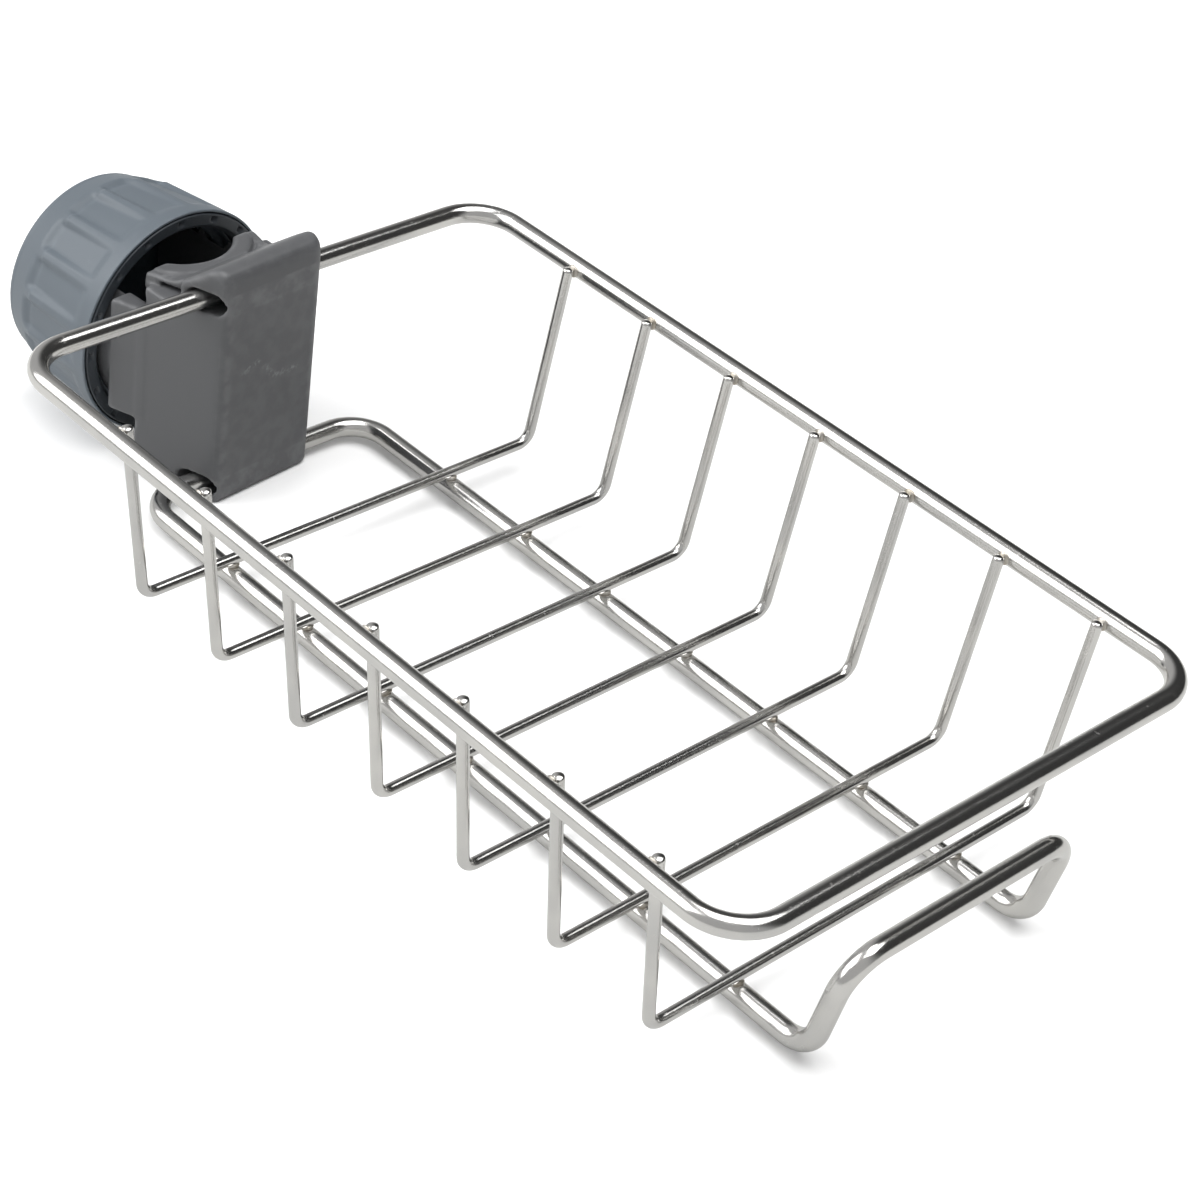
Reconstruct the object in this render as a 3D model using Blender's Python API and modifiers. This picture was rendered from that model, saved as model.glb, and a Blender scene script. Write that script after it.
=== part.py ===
"""Faucet organizer rack: a wire basket carried by a screw clamp that grips a tap's round pipe.

The rack frame has X along the basket from the clamp to the free end, Y across it and Z up.
Its zero is the clamp-end rim wire's centre line, seen from above, on the basket's middle, at the
height of the floor wires' centres. The finished rack is then set down with its lowest point at
Z = 0 and the middle of its bounding box on the Z axis.

The clamp frame is the rack frame turned a few degrees about Z, because the clamp sits on its two
wires with play. The screw frame has its Z along the cap's axis, pointing away from the basket.
"""

import math

import bmesh
import bpy
from mathutils import Matrix, Vector

# Basket: rim, floor wires and their welds
RIM_LENGTH = 0.2070
RIM_WIDTH = 0.1248
RIM_HEIGHT = 0.0425
RIM_CORNER_RADIUS = 0.0110
HEAVY_WIRE_RADIUS = 0.00225
LIGHT_WIRE_RADIUS = 0.00125
WELD_GAP = 0.00025
CROSS_WIRE_COUNT = 7
FIRST_WIRE_INSET = 0.0326
LAST_WIRE_INSET = 0.0223
SIDE_SPREAD = 0.0055
CROSS_BEND_RADIUS = 0.0035
CROSS_END_RISE = 0.0016

# Lower frame with its raised bar
LOWER_WIDTH = 0.06055
LOWER_INSET = 0.0011
LOWER_CORNER_RADIUS = 0.0090
BAR_OVERHANG = 0.0011
BAR_LEAN = 0.0044
BAR_HEIGHT = 0.0206
KICK_BEND_RADIUS = 0.0070
BAR_CORNER_RADIUS = 0.0080

# Clamp body
CLAMP_YAW_DEGREES = 5.3
CLAMP_OFFSET = -0.00185
SLOT_CLEARANCE = 0.0003
FRONT_WALL = 0.00105
BOTTOM_WALL = 0.0011
PLATE_HALF_WIDTH = 0.0137
PLATE_CORNER_RADIUS = 0.0030
PLATE_TOP_RADIUS = 0.00375
PLATE_FOOT_RADIUS = 0.0020
BLOCK_HALF_WIDTH = 0.0198
BLOCK_DEPTH = 0.0160
LEDGE_DROP = 0.0032
LEDGE_FRONT_DEPTH = 0.0066
LEDGE_SWEEP_RADIUS = 0.0120
JAW_HALF_WIDTH = 0.0127
JAW_DEPTH = 0.0218
JAW_TIP_DROP = 0.0034
JAW_TIP_THICKNESS = 0.0039
JAW_NOTCH_STEP = 0.0004
JAW_UNDERCUT_STEP = 0.0001
RAMP_KNEE_DEPTH = 0.0090
RAMP_KNEE_RISE = 0.0007
RAMP_KNEE_RADIUS = 0.0100
RAMP_SLOPE_DEGREES = 37.2
JAW_CORNER_RADIUS = 0.0008
CHEEK_CORNER_RADIUS = 0.0010
SEAT_RADIUS = 0.0120
SEAT_DEPTH = 0.0135
LAND_RADIUS = 0.0168
LAND_HALF_WIDTH = 0.0112
LAND_DEPTH = 0.0213
LAND_TIP_DROP = 0.0023
LAND_TILT_DEGREES = 9.8
LAND_THICKNESS = 0.0040

# Threaded arms
AXIS_ABOVE_MIDDLE = 0.0006
COLLAR_DEPTH = 0.0224
COLLAR_TOP_DROP = 0.0079
ARM_LOW_REACH = 0.0132
ARM_INNER_GAP = 0.0040
ARM_INSET = 0.0002
ARM_REACH = 0.0250
ARM_COLLAR_REACH = 0.0020
THREAD_ROOT_RADIUS = 0.0200
THREAD_HEIGHT = 0.0015
THREAD_PITCH = 0.0050
THREAD_ROOT_WIDTH = 0.0024
THREAD_CREST_WIDTH = 0.0012
THREAD_CLEARANCE = 0.0005
THREAD_BURY = 0.0004

# Screw cap and the pressure ring in its mouth
MOUTH_DEPTH = 0.0246
RING_INNER_RADIUS = 0.0223
RING_WALL = 0.0026
RING_LENGTH = 0.0042
RING_STAND = 0.0003
RING_BEAD = 0.0005
RING_BEAD_START = 0.0022
RING_BEAD_WIDTH = 0.0009
RING_FLANGE = 0.0009
RING_FLANGE_LENGTH = 0.0012
FIT_GAP = 0.0003
MOUTH_LIP = 0.0006
MOUTH_EDGE_RADIUS = 0.0003
GRIP_LENGTH = 0.0205
GRIP_TAPER = 0.0014
GRIP_STEP = 0.00045
CAP_LENGTH = 0.0310
BACK_DISC_INSET = 0.0040
BACK_CORNER_RADIUS = 0.0022
BACK_WALL = 0.0026
BACK_DOME = 0.0002
FLUTE_COUNT = 16
FLUTE_TURN_DEGREES = 0.8
FLUTE_HALF_DEGREES = 9.8
FLUTE_FLOOR_DEGREES = 7.4
FLUTE_DEPTH = 0.0006
FLUTE_MOUTH_GAP = 0.0034
FLUTE_BACK_REACH = 0.0032

# Mesh fineness
CORNER_STEPS = 6
OUTLINE_STEPS = 6
TURN_STEPS = 96
THREAD_STEPS = 32
FLUTE_STEPS = 2
OVERRUN = 0.0010
MERGE_DISTANCE = 0.000001
SHARP_DEGREES = 30

# Values that follow from the sizes above
LOWER_Z = -(HEAVY_WIRE_RADIUS + LIGHT_WIRE_RADIUS + WELD_GAP)
WIRE_SPACING = (RIM_LENGTH - FIRST_WIRE_INSET - LAST_WIRE_INSET) / (CROSS_WIRE_COUNT - 1)
YAW = math.radians(CLAMP_YAW_DEGREES)
BAR_X = RIM_LENGTH + BAR_OVERHANG


def wire_x(across, inset):
    """Depth of a wire that lies along the rack's Y, met at a place across the yawed clamp."""
    return inset / math.cos(YAW) + math.tan(YAW) * (across + CLAMP_OFFSET)


HEAVY_SECTION = HEAVY_WIRE_RADIUS / math.cos(YAW)
SLOT_HALF_HEIGHT = HEAVY_WIRE_RADIUS + SLOT_CLEARANCE
SLOT_FRONT = wire_x(PLATE_HALF_WIDTH, LOWER_INSET) + HEAVY_SECTION + SLOT_CLEARANCE
SLOT_BACK = wire_x(-BLOCK_HALF_WIDTH, 0.0) - HEAVY_SECTION - SLOT_CLEARANCE
PLATE_FRONT = SLOT_FRONT + FRONT_WALL
PLATE_FOOT = LOWER_Z - SLOT_HALF_HEIGHT - BOTTOM_WALL
FLARE = (BLOCK_HALF_WIDTH - PLATE_HALF_WIDTH) / (BLOCK_DEPTH + PLATE_FRONT)
AXIS_Z = (RIM_HEIGHT + LOWER_Z) / 2 + AXIS_ABOVE_MIDDLE
ARM_INNER = SEAT_RADIUS + ARM_INNER_GAP
THREAD_CREST_RADIUS = THREAD_ROOT_RADIUS + THREAD_HEIGHT
RING_OUTER_RADIUS = RING_INNER_RADIUS + RING_WALL
MOUTH_BORE_RADIUS = RING_OUTER_RADIUS + FIT_GAP
FLANGE_RADIUS = RING_OUTER_RADIUS + RING_FLANGE
MOUTH_RECESS_RADIUS = FLANGE_RADIUS + FIT_GAP
MOUTH_RADIUS = MOUTH_RECESS_RADIUS + MOUTH_LIP
CAP_BORE_RADIUS = THREAD_CREST_RADIUS + THREAD_CLEARANCE
CAP_CREST_RADIUS = THREAD_ROOT_RADIUS + THREAD_CLEARANCE
GRIP_BACK_RADIUS = MOUTH_RADIUS - GRIP_TAPER
NECK_RADIUS = GRIP_BACK_RADIUS - GRIP_STEP
BACK_DISC_RADIUS = MOUTH_RADIUS - BACK_DISC_INSET


def clear_scene():
    """Start from nothing, whatever the file held."""
    for item in list(bpy.data.objects):
        bpy.data.objects.remove(item, do_unlink=True)


def new_collection(name):
    """A collection linked to the scene."""
    collection = bpy.data.collections.new(name)
    bpy.context.scene.collection.children.link(collection)
    return collection


def new_material(name, colour, roughness, metallic):
    """A Principled material in one colour."""
    material = bpy.data.materials.new(name)
    material.use_nodes = True
    shader = material.node_tree.nodes["Principled BSDF"]
    shader.inputs["Base Color"].default_value = (*colour, 1.0)
    shader.inputs["Roughness"].default_value = roughness
    shader.inputs["Metallic"].default_value = metallic
    return material


def new_empty(name, parent, location, rotation, collection):
    """A frame that pieces are parented to."""
    empty = bpy.data.objects.new(name, None)
    empty.empty_display_size = RIM_HEIGHT
    empty.parent = parent
    empty.location = location
    empty.rotation_euler = rotation
    collection.objects.link(empty)
    return empty


def add_object(name, data, parent, collection):
    """An object that holds the given data, in its parent's frame."""
    item = bpy.data.objects.new(name, data)
    item.parent = parent
    collection.objects.link(item)
    return item


def as_cutter(item):
    """A shape that only serves a Boolean."""
    item.hide_render = True
    item.display_type = "WIRE"
    return item


def boolean(item, other, operation):
    """Cut, join or intersect a shape with another one."""
    modifier = item.modifiers.new(other.name, "BOOLEAN")
    modifier.object = other
    modifier.operation = operation
    modifier.solver = "EXACT"
    return modifier


def smooth_by_angle(item):
    """Smooth shading of the finished shape that keeps its sharp edges sharp."""
    group = bpy.data.node_groups.get("smooth by angle")
    if group is None:
        group = bpy.data.node_groups.new("smooth by angle", "GeometryNodeTree")
        group.interface.new_socket("Geometry", in_out="INPUT", socket_type="NodeSocketGeometry")
        group.interface.new_socket("Geometry", in_out="OUTPUT", socket_type="NodeSocketGeometry")
        start = group.nodes.new("NodeGroupInput")
        end = group.nodes.new("NodeGroupOutput")
        angle = group.nodes.new("GeometryNodeInputMeshEdgeAngle")
        compare = group.nodes.new("FunctionNodeCompare")
        compare.operation = "LESS_EQUAL"
        compare.inputs["B"].default_value = math.radians(SHARP_DEGREES)
        faces = group.nodes.new("GeometryNodeSetShadeSmooth")
        edges = group.nodes.new("GeometryNodeSetShadeSmooth")
        edges.domain = "EDGE"
        group.links.new(angle.outputs["Unsigned Angle"], compare.inputs["A"])
        group.links.new(start.outputs[0], faces.inputs["Geometry"])
        group.links.new(faces.outputs[0], edges.inputs["Geometry"])
        group.links.new(compare.outputs["Result"], edges.inputs["Shade Smooth"])
        group.links.new(edges.outputs[0], end.inputs[0])
    modifier = item.modifiers.new("smooth by angle", "NODES")
    modifier.node_group = group


def mesh_from_curve(curve_object, name, parent, collection):
    """A welded mesh in place of a curve, because a curve takes no Boolean."""
    bpy.context.view_layer.update()
    graph = bpy.context.evaluated_depsgraph_get()
    mesh = bpy.data.meshes.new_from_object(curve_object.evaluated_get(graph))
    mesh.name = name
    builder = bmesh.new()
    builder.from_mesh(mesh)
    bmesh.ops.remove_doubles(builder, verts=builder.verts, dist=MERGE_DISTANCE)
    bmesh.ops.recalc_face_normals(builder, faces=builder.faces)
    builder.to_mesh(mesh)
    builder.free()
    item = add_object(name, mesh, parent, collection)
    item.matrix_basis = curve_object.matrix_basis.copy()
    bpy.data.objects.remove(curve_object, do_unlink=True)
    return item


def rounded_path(corners, closed, steps):
    """Points along straight runs whose corners are arcs.

    Each corner is a point and a radius. A radius of zero leaves the corner as it is.
    """
    points = []
    count = len(corners)
    for index, (corner, radius) in enumerate(corners):
        corner = Vector(corner)
        if radius == 0 or (not closed and index in (0, count - 1)):
            points.append(corner)
            continue
        before = (Vector(corners[index - 1][0]) - corner).normalized()
        after = (Vector(corners[(index + 1) % count][0]) - corner).normalized()
        half = before.angle(after) / 2
        middle = corner + (before + after).normalized() * (radius / math.sin(half))
        foot = corner + before * (radius / math.tan(half))
        start = foot - middle
        axis = before.cross(after)
        turn = math.pi - 2 * half
        for step in range(steps + 1):
            arm = start.copy()
            arm.rotate(Matrix.Rotation(-turn * step / steps, 3, axis))
            points.append(middle + arm)
    return points


def wire_curve(name, points, radius, closed, material, parent, collection):
    """A round wire along a path, with flat cut ends where it is open."""
    curve = bpy.data.curves.new(name, "CURVE")
    curve.dimensions = "3D"
    curve.bevel_depth = radius
    curve.bevel_resolution = 2
    curve.use_fill_caps = not closed
    spline = curve.splines.new("POLY")
    spline.points.add(len(points) - 1)
    for place, point in zip(spline.points, points):
        place.co = (*point, 1.0)
        place.radius = 1.0
    spline.use_cyclic_u = closed
    spline.use_smooth = True
    curve.materials.append(material)
    return add_object(name, curve, parent, collection)


def plate_from_outline(name, outline, thickness, parent, collection):
    """A flat outline in X and Y, extruded half its thickness to each side."""
    curve = bpy.data.curves.new(name, "CURVE")
    curve.dimensions = "2D"
    curve.fill_mode = "BOTH"
    curve.extrude = thickness / 2
    spline = curve.splines.new("POLY")
    spline.points.add(len(outline) - 1)
    for place, point in zip(spline.points, outline):
        place.co = (point[0], point[1], 0.0, 1.0)
    spline.use_cyclic_u = True
    return mesh_from_curve(add_object(name + " outline", curve, parent, collection), name, parent, collection)


def turned(name, profile, parent, collection):
    """A solid turned about Z from a profile of radius and height pairs."""
    mesh = bpy.data.meshes.new(name)
    points = [(radius, 0.0, height) for radius, height in profile]
    closed = profile[0][0] > 0
    edges = [(index, index + 1) for index in range(len(points) - 1)]
    if closed:
        edges.append((len(points) - 1, 0))
    mesh.from_pydata(points, edges, [])
    item = add_object(name, mesh, parent, collection)
    screw = item.modifiers.new("turn", "SCREW")
    screw.axis = "Z"
    screw.angle = math.tau
    screw.steps = TURN_STEPS
    screw.render_steps = TURN_STEPS
    screw.use_merge_vertices = True
    screw.merge_threshold = MERGE_DISTANCE
    screw.use_smooth_shade = True
    return item


def arc(centre, radius, start_degrees, end_degrees, steps):
    """Points on a circle's arc, for a profile or an outline."""
    points = []
    for step in range(steps + 1):
        angle = math.radians(start_degrees + (end_degrees - start_degrees) * step / steps)
        points.append((centre[0] + radius * math.cos(angle), centre[1] + radius * math.sin(angle)))
    return points


def helical_ridge(name, foot_radius, crest_radius, start, end, phase, parent, collection):
    """A right-handed thread: a trapezium carried along a helix about Z.

    The foot radius is the side that is buried in the wall, and the crest radius the free side.
    """
    tooth = bpy.data.curves.new(name + " tooth", "CURVE")
    tooth.dimensions = "2D"
    spline = tooth.splines.new("POLY")
    spline.points.add(3)
    middle = (foot_radius + crest_radius) / 2
    foot = foot_radius - middle
    crest = crest_radius - middle
    section = [
        (foot, -THREAD_ROOT_WIDTH / 2),
        (crest, -THREAD_CREST_WIDTH / 2),
        (crest, THREAD_CREST_WIDTH / 2),
        (foot, THREAD_ROOT_WIDTH / 2),
    ]
    for place, point in zip(spline.points, section):
        place.co = (*point, 0.0, 1.0)
    spline.use_cyclic_u = True
    tooth_object = add_object(name + " tooth", tooth, None, collection)

    helix = bpy.data.curves.new(name + " helix", "CURVE")
    helix.dimensions = "3D"
    helix.twist_mode = "Z_UP"
    helix.bevel_mode = "OBJECT"
    helix.bevel_object = tooth_object
    helix.use_fill_caps = True
    run = helix.splines.new("POLY")
    count = round((end - start) / THREAD_PITCH * THREAD_STEPS)
    run.points.add(count)
    for index, place in enumerate(run.points):
        height = start + (end - start) * index / count
        angle = math.tau * height / THREAD_PITCH + phase
        place.co = (middle * math.cos(angle), middle * math.sin(angle), height, 1.0)
    ridge = mesh_from_curve(add_object(name + " helix", helix, parent, collection), name, parent, collection)
    bpy.data.objects.remove(tooth_object, do_unlink=True)
    return as_cutter(ridge)


def make_rim(parent, material, collection):
    """The closed rim wire, a rectangle with rounded corners."""
    half = RIM_WIDTH / 2
    corners = [
        ((0.0, -half, RIM_HEIGHT), RIM_CORNER_RADIUS),
        ((RIM_LENGTH, -half, RIM_HEIGHT), RIM_CORNER_RADIUS),
        ((RIM_LENGTH, half, RIM_HEIGHT), RIM_CORNER_RADIUS),
        ((0.0, half, RIM_HEIGHT), RIM_CORNER_RADIUS),
    ]
    path = rounded_path(corners, True, CORNER_STEPS)
    return wire_curve("rim_wire", path, HEAVY_WIRE_RADIUS, True, material, parent, collection)


def make_lower_frame(parent, material, collection):
    """The closed lower wire: two runners under the floor, kicked up to a bar at the free end."""
    half = LOWER_WIDTH / 2
    turn_x = BAR_X - BAR_LEAN
    corners = [
        ((LOWER_INSET, -half, LOWER_Z), LOWER_CORNER_RADIUS),
        ((turn_x, -half, LOWER_Z), KICK_BEND_RADIUS),
        ((BAR_X, -half, BAR_HEIGHT), BAR_CORNER_RADIUS),
        ((BAR_X, half, BAR_HEIGHT), BAR_CORNER_RADIUS),
        ((turn_x, half, LOWER_Z), KICK_BEND_RADIUS),
        ((LOWER_INSET, half, LOWER_Z), LOWER_CORNER_RADIUS),
    ]
    path = rounded_path(corners, True, CORNER_STEPS)
    return wire_curve("lower_frame_wire", path, HEAVY_WIRE_RADIUS, True, material, parent, collection)


def make_cross_wires(parent, material, collection):
    """The floor wires, each bent up inside the rim and welded to it."""
    seat = RIM_WIDTH / 2 - HEAVY_WIRE_RADIUS - LIGHT_WIRE_RADIUS - WELD_GAP
    lean = math.atan2(SIDE_SPREAD, RIM_HEIGHT)
    seat = seat + LIGHT_WIRE_RADIUS * (1 - 1 / math.cos(lean))
    floor = seat - SIDE_SPREAD
    top = RIM_HEIGHT + CROSS_END_RISE
    top_y = floor + SIDE_SPREAD * top / RIM_HEIGHT
    wires = []
    for index in range(CROSS_WIRE_COUNT):
        x = FIRST_WIRE_INSET + WIRE_SPACING * index
        corners = [
            ((x, -top_y, top), 0.0),
            ((x, -floor, 0.0), CROSS_BEND_RADIUS),
            ((x, floor, 0.0), CROSS_BEND_RADIUS),
            ((x, top_y, top), 0.0),
        ]
        path = rounded_path(corners, False, CORNER_STEPS)
        name = f"cross_wire_{index + 1}"
        wires.append(wire_curve(name, path, LIGHT_WIRE_RADIUS, False, material, parent, collection))
    return wires


def flared_half_width(depth):
    """Half the body's width at a depth behind its wire slots."""
    return PLATE_HALF_WIDTH + FLARE * (PLATE_FRONT + depth)


def box_cutter(name, depths, across, heights, parent, cutters):
    """An upright box between two depths, two places across and two heights."""
    outline = [
        (-depths[0], across[0]),
        (-depths[0], across[1]),
        (-depths[1], across[1]),
        (-depths[1], across[0]),
    ]
    box = plate_from_outline(name, outline, heights[1] - heights[0], parent, cutters)
    box.location = (0.0, 0.0, (heights[0] + heights[1]) / 2)
    return as_cutter(box)


def make_body_shell(parent, cutters):
    """Block, cheeks and jaw in one: their plan outline crossed with their side outline."""
    cheek = flared_half_width(COLLAR_DEPTH)
    notch = BLOCK_DEPTH - JAW_NOTCH_STEP
    half = [
        ((PLATE_FRONT, PLATE_HALF_WIDTH, 0.0), PLATE_CORNER_RADIUS),
        ((-COLLAR_DEPTH, cheek, 0.0), CHEEK_CORNER_RADIUS),
        ((-COLLAR_DEPTH, ARM_INNER, 0.0), CHEEK_CORNER_RADIUS),
        ((-notch, ARM_INNER, 0.0), 0.0),
        ((-notch, JAW_HALF_WIDTH, 0.0), 0.0),
        ((-JAW_DEPTH, JAW_HALF_WIDTH, 0.0), JAW_CORNER_RADIUS),
    ]
    other_half = [((x, -y, z), radius) for (x, y, z), radius in reversed(half)]
    plan = rounded_path(half + other_half, True, OUTLINE_STEPS)
    low = PLATE_FOOT - OVERRUN
    height = RIM_HEIGHT + SEAT_RADIUS - low
    body = plate_from_outline("clamp_base", plan, height, parent, cutters)
    body.location = (0.0, 0.0, low + height / 2)

    knee = (-RAMP_KNEE_DEPTH, RIM_HEIGHT + RAMP_KNEE_RISE)
    rise = math.tan(math.radians(RAMP_SLOPE_DEGREES)) * (PLATE_FRONT - knee[0])
    back = COLLAR_DEPTH + OVERRUN
    fall = (RAMP_KNEE_RISE + JAW_TIP_DROP) / (JAW_DEPTH - RAMP_KNEE_DEPTH)
    side_corners = [
        ((PLATE_FRONT, PLATE_FOOT, 0.0), PLATE_FOOT_RADIUS),
        ((PLATE_FRONT, knee[1] + rise, 0.0), PLATE_TOP_RADIUS),
        ((*knee, 0.0), RAMP_KNEE_RADIUS),
        ((-back, knee[1] - fall * (back - RAMP_KNEE_DEPTH), 0.0), 0.0),
        ((-back, PLATE_FOOT, 0.0), 0.0),
    ]
    outline = rounded_path(side_corners, True, OUTLINE_STEPS)
    side = as_cutter(plate_from_outline("side outline", outline, 2 * (cheek + OVERRUN), parent, cutters))
    side.rotation_euler = (math.radians(90), 0.0, 0.0)
    boolean(body, side, "INTERSECT")
    return body


def back_cutters(parent, cutters):
    """What is taken off the back: under the jaw's tip, and over and under the two cheeks."""
    back = COLLAR_DEPTH + 2 * OVERRUN
    outer = flared_half_width(COLLAR_DEPTH) + 2 * OVERRUN
    notch_middle = (JAW_HALF_WIDTH + ARM_INNER) / 2
    low = PLATE_FOOT - 2 * OVERRUN
    high = RIM_HEIGHT + SEAT_RADIUS + OVERRUN
    jaw_low = RIM_HEIGHT - JAW_TIP_DROP - JAW_TIP_THICKNESS
    undercut = (BLOCK_DEPTH - JAW_UNDERCUT_STEP, back)
    middle = (-notch_middle, notch_middle)
    made = [box_cutter("jaw undercut", undercut, middle, (low, jaw_low), parent, cutters)]
    for side, name in (((notch_middle, outer), "far"), ((-outer, -notch_middle), "near")):
        over = (RIM_HEIGHT - COLLAR_TOP_DROP, high)
        under = (low, AXIS_Z - ARM_LOW_REACH)
        made.append(box_cutter(f"over {name} cheek", (BLOCK_DEPTH, back), side, over, parent, cutters))
        made.append(box_cutter(f"under {name} cheek", (BLOCK_DEPTH, back), side, under, parent, cutters))
    return made


def ledge_cutters(parent, cutters):
    """What is taken off beside the jaw for the rim wire, sweeping out to the side in front."""
    top = RIM_HEIGHT + SEAT_RADIUS
    low = RIM_HEIGHT - LEDGE_DROP
    back = -JAW_DEPTH - OVERRUN
    outer = BLOCK_HALF_WIDTH + OVERRUN
    sweep = arc((-LEDGE_FRONT_DEPTH, JAW_HALF_WIDTH + LEDGE_SWEEP_RADIUS), LEDGE_SWEEP_RADIUS, -90, -30, OUTLINE_STEPS)
    outline = [(back, outer), (back, JAW_HALF_WIDTH)] + [point for point in sweep if point[1] < outer]
    outline.append((outline[-1][0], outer))
    cutters_made = []
    for side, name in ((1, "far ledge"), (-1, "near ledge")):
        flipped = [(x, side * y) for x, y in outline]
        block = plate_from_outline(name, flipped, top - low, parent, cutters)
        block.location = (0.0, 0.0, (top + low) / 2)
        cutters_made.append(as_cutter(block))
    return cutters_made


def seat_land(parent, cutters):
    """The raised crescent that borders the pipe seat on top of the jaw."""
    middle = -SEAT_DEPTH - SEAT_RADIUS
    half_angle = math.degrees(math.asin(LAND_HALF_WIDTH / LAND_RADIUS))
    outline = arc((middle, 0.0), LAND_RADIUS, -half_angle, half_angle, 2 * OUTLINE_STEPS)
    outline += [(-LAND_DEPTH, LAND_HALF_WIDTH), (-LAND_DEPTH, -LAND_HALF_WIDTH)]
    outline = [(x + LAND_DEPTH, y) for x, y in outline]
    land = plate_from_outline("seat land", outline, LAND_THICKNESS, parent, cutters)
    tilt = math.radians(LAND_TILT_DEGREES)
    land.rotation_euler = (0.0, -tilt, 0.0)
    sunk = RIM_HEIGHT - LAND_TIP_DROP - LAND_THICKNESS / 2 * math.cos(tilt)
    land.location = (-LAND_DEPTH + LAND_THICKNESS / 2 * math.sin(tilt), 0.0, sunk)
    return as_cutter(land)


def threaded_arms(screw_frame, cutters):
    """A threaded boss, of which only the two sides beside the pipe's channel are kept."""
    start = COLLAR_DEPTH - MOUTH_DEPTH - OVERRUN
    profile = [
        (0.0, ARM_REACH),
        (THREAD_ROOT_RADIUS - THREAD_HEIGHT, ARM_REACH),
        (THREAD_ROOT_RADIUS, ARM_REACH - THREAD_HEIGHT),
        (THREAD_ROOT_RADIUS, ARM_COLLAR_REACH + THREAD_HEIGHT),
        (THREAD_CREST_RADIUS, ARM_COLLAR_REACH),
        (THREAD_CREST_RADIUS, start),
        (0.0, start),
    ]
    arms = turned("threaded arms", profile, screw_frame, cutters)
    first = ARM_COLLAR_REACH + THREAD_PITCH
    last = ARM_REACH - THREAD_ROOT_WIDTH
    foot = THREAD_ROOT_RADIUS - THREAD_BURY
    ridge = helical_ridge("arm thread", foot, THREAD_CREST_RADIUS, first, last, 0.0, screw_frame, cutters)
    boolean(arms, ridge, "UNION")

    outer = THREAD_CREST_RADIUS + OVERRUN
    inner = ARM_INNER + ARM_INSET
    low = ARM_LOW_REACH - ARM_INSET
    reach = ARM_REACH - start + 2 * OVERRUN
    for side, name in ((1, "far arm side"), (-1, "near arm side")):
        outline = [
            (-low, side * inner),
            (outer, side * inner),
            (outer, side * outer),
            (-low, side * outer),
        ]
        keep = plate_from_outline(name, outline, reach, screw_frame, cutters)
        keep.location = (0.0, 0.0, (ARM_REACH + start) / 2)
        as_cutter(keep)
    keep = bpy.data.objects["far arm side"]
    boolean(keep, bpy.data.objects["near arm side"], "UNION")
    boolean(arms, keep, "INTERSECT")
    return as_cutter(arms)


def slot_cutter(name, height, parent, cutters):
    """A long round-ended slot right through the body, which a basket wire lies in."""
    centre_back = SLOT_BACK + SLOT_HALF_HEIGHT
    centre_front = SLOT_FRONT - SLOT_HALF_HEIGHT
    outline = arc((centre_front, 0.0), SLOT_HALF_HEIGHT, -90, 90, 2 * OUTLINE_STEPS)
    outline += arc((centre_back, 0.0), SLOT_HALF_HEIGHT, 90, 270, 2 * OUTLINE_STEPS)
    slot = plate_from_outline(name, outline, 2 * (BLOCK_HALF_WIDTH + OVERRUN), parent, cutters)
    slot.rotation_euler = (math.radians(90), 0.0, 0.0)
    slot.location = (0.0, 0.0, height)
    return as_cutter(slot)


def seat_cutter(parent, cutters):
    """The upright round seat that the tap's pipe lies in."""
    top = RIM_HEIGHT + SEAT_RADIUS
    depth = top - PLATE_FOOT + 2 * OVERRUN
    outline = arc((0.0, 0.0), SEAT_RADIUS, 0, 360, 8 * OUTLINE_STEPS)[:-1]
    seat = plate_from_outline("pipe seat", outline, depth, parent, cutters)
    seat.location = (-SEAT_DEPTH - SEAT_RADIUS, 0.0, (top + PLATE_FOOT) / 2)
    return as_cutter(seat)


def make_clamp_base(clamp_frame, screw_frame, material, parts, cutters):
    """The moulded body: block, jaw with its pipe seat, two wire slots and the threaded arms."""
    body = make_body_shell(clamp_frame, cutters)
    for cutter in ledge_cutters(clamp_frame, cutters) + back_cutters(clamp_frame, cutters):
        boolean(body, cutter, "DIFFERENCE")
    boolean(body, seat_land(clamp_frame, cutters), "UNION")
    boolean(body, seat_cutter(clamp_frame, cutters), "DIFFERENCE")
    boolean(body, threaded_arms(screw_frame, cutters), "UNION")
    boolean(body, slot_cutter("rim slot", RIM_HEIGHT, clamp_frame, cutters), "DIFFERENCE")
    boolean(body, slot_cutter("lower slot", LOWER_Z, clamp_frame, cutters), "DIFFERENCE")
    cutters.objects.unlink(body)
    parts.objects.link(body)
    body.data.materials.append(material)
    smooth_by_angle(body)
    return body


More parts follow.
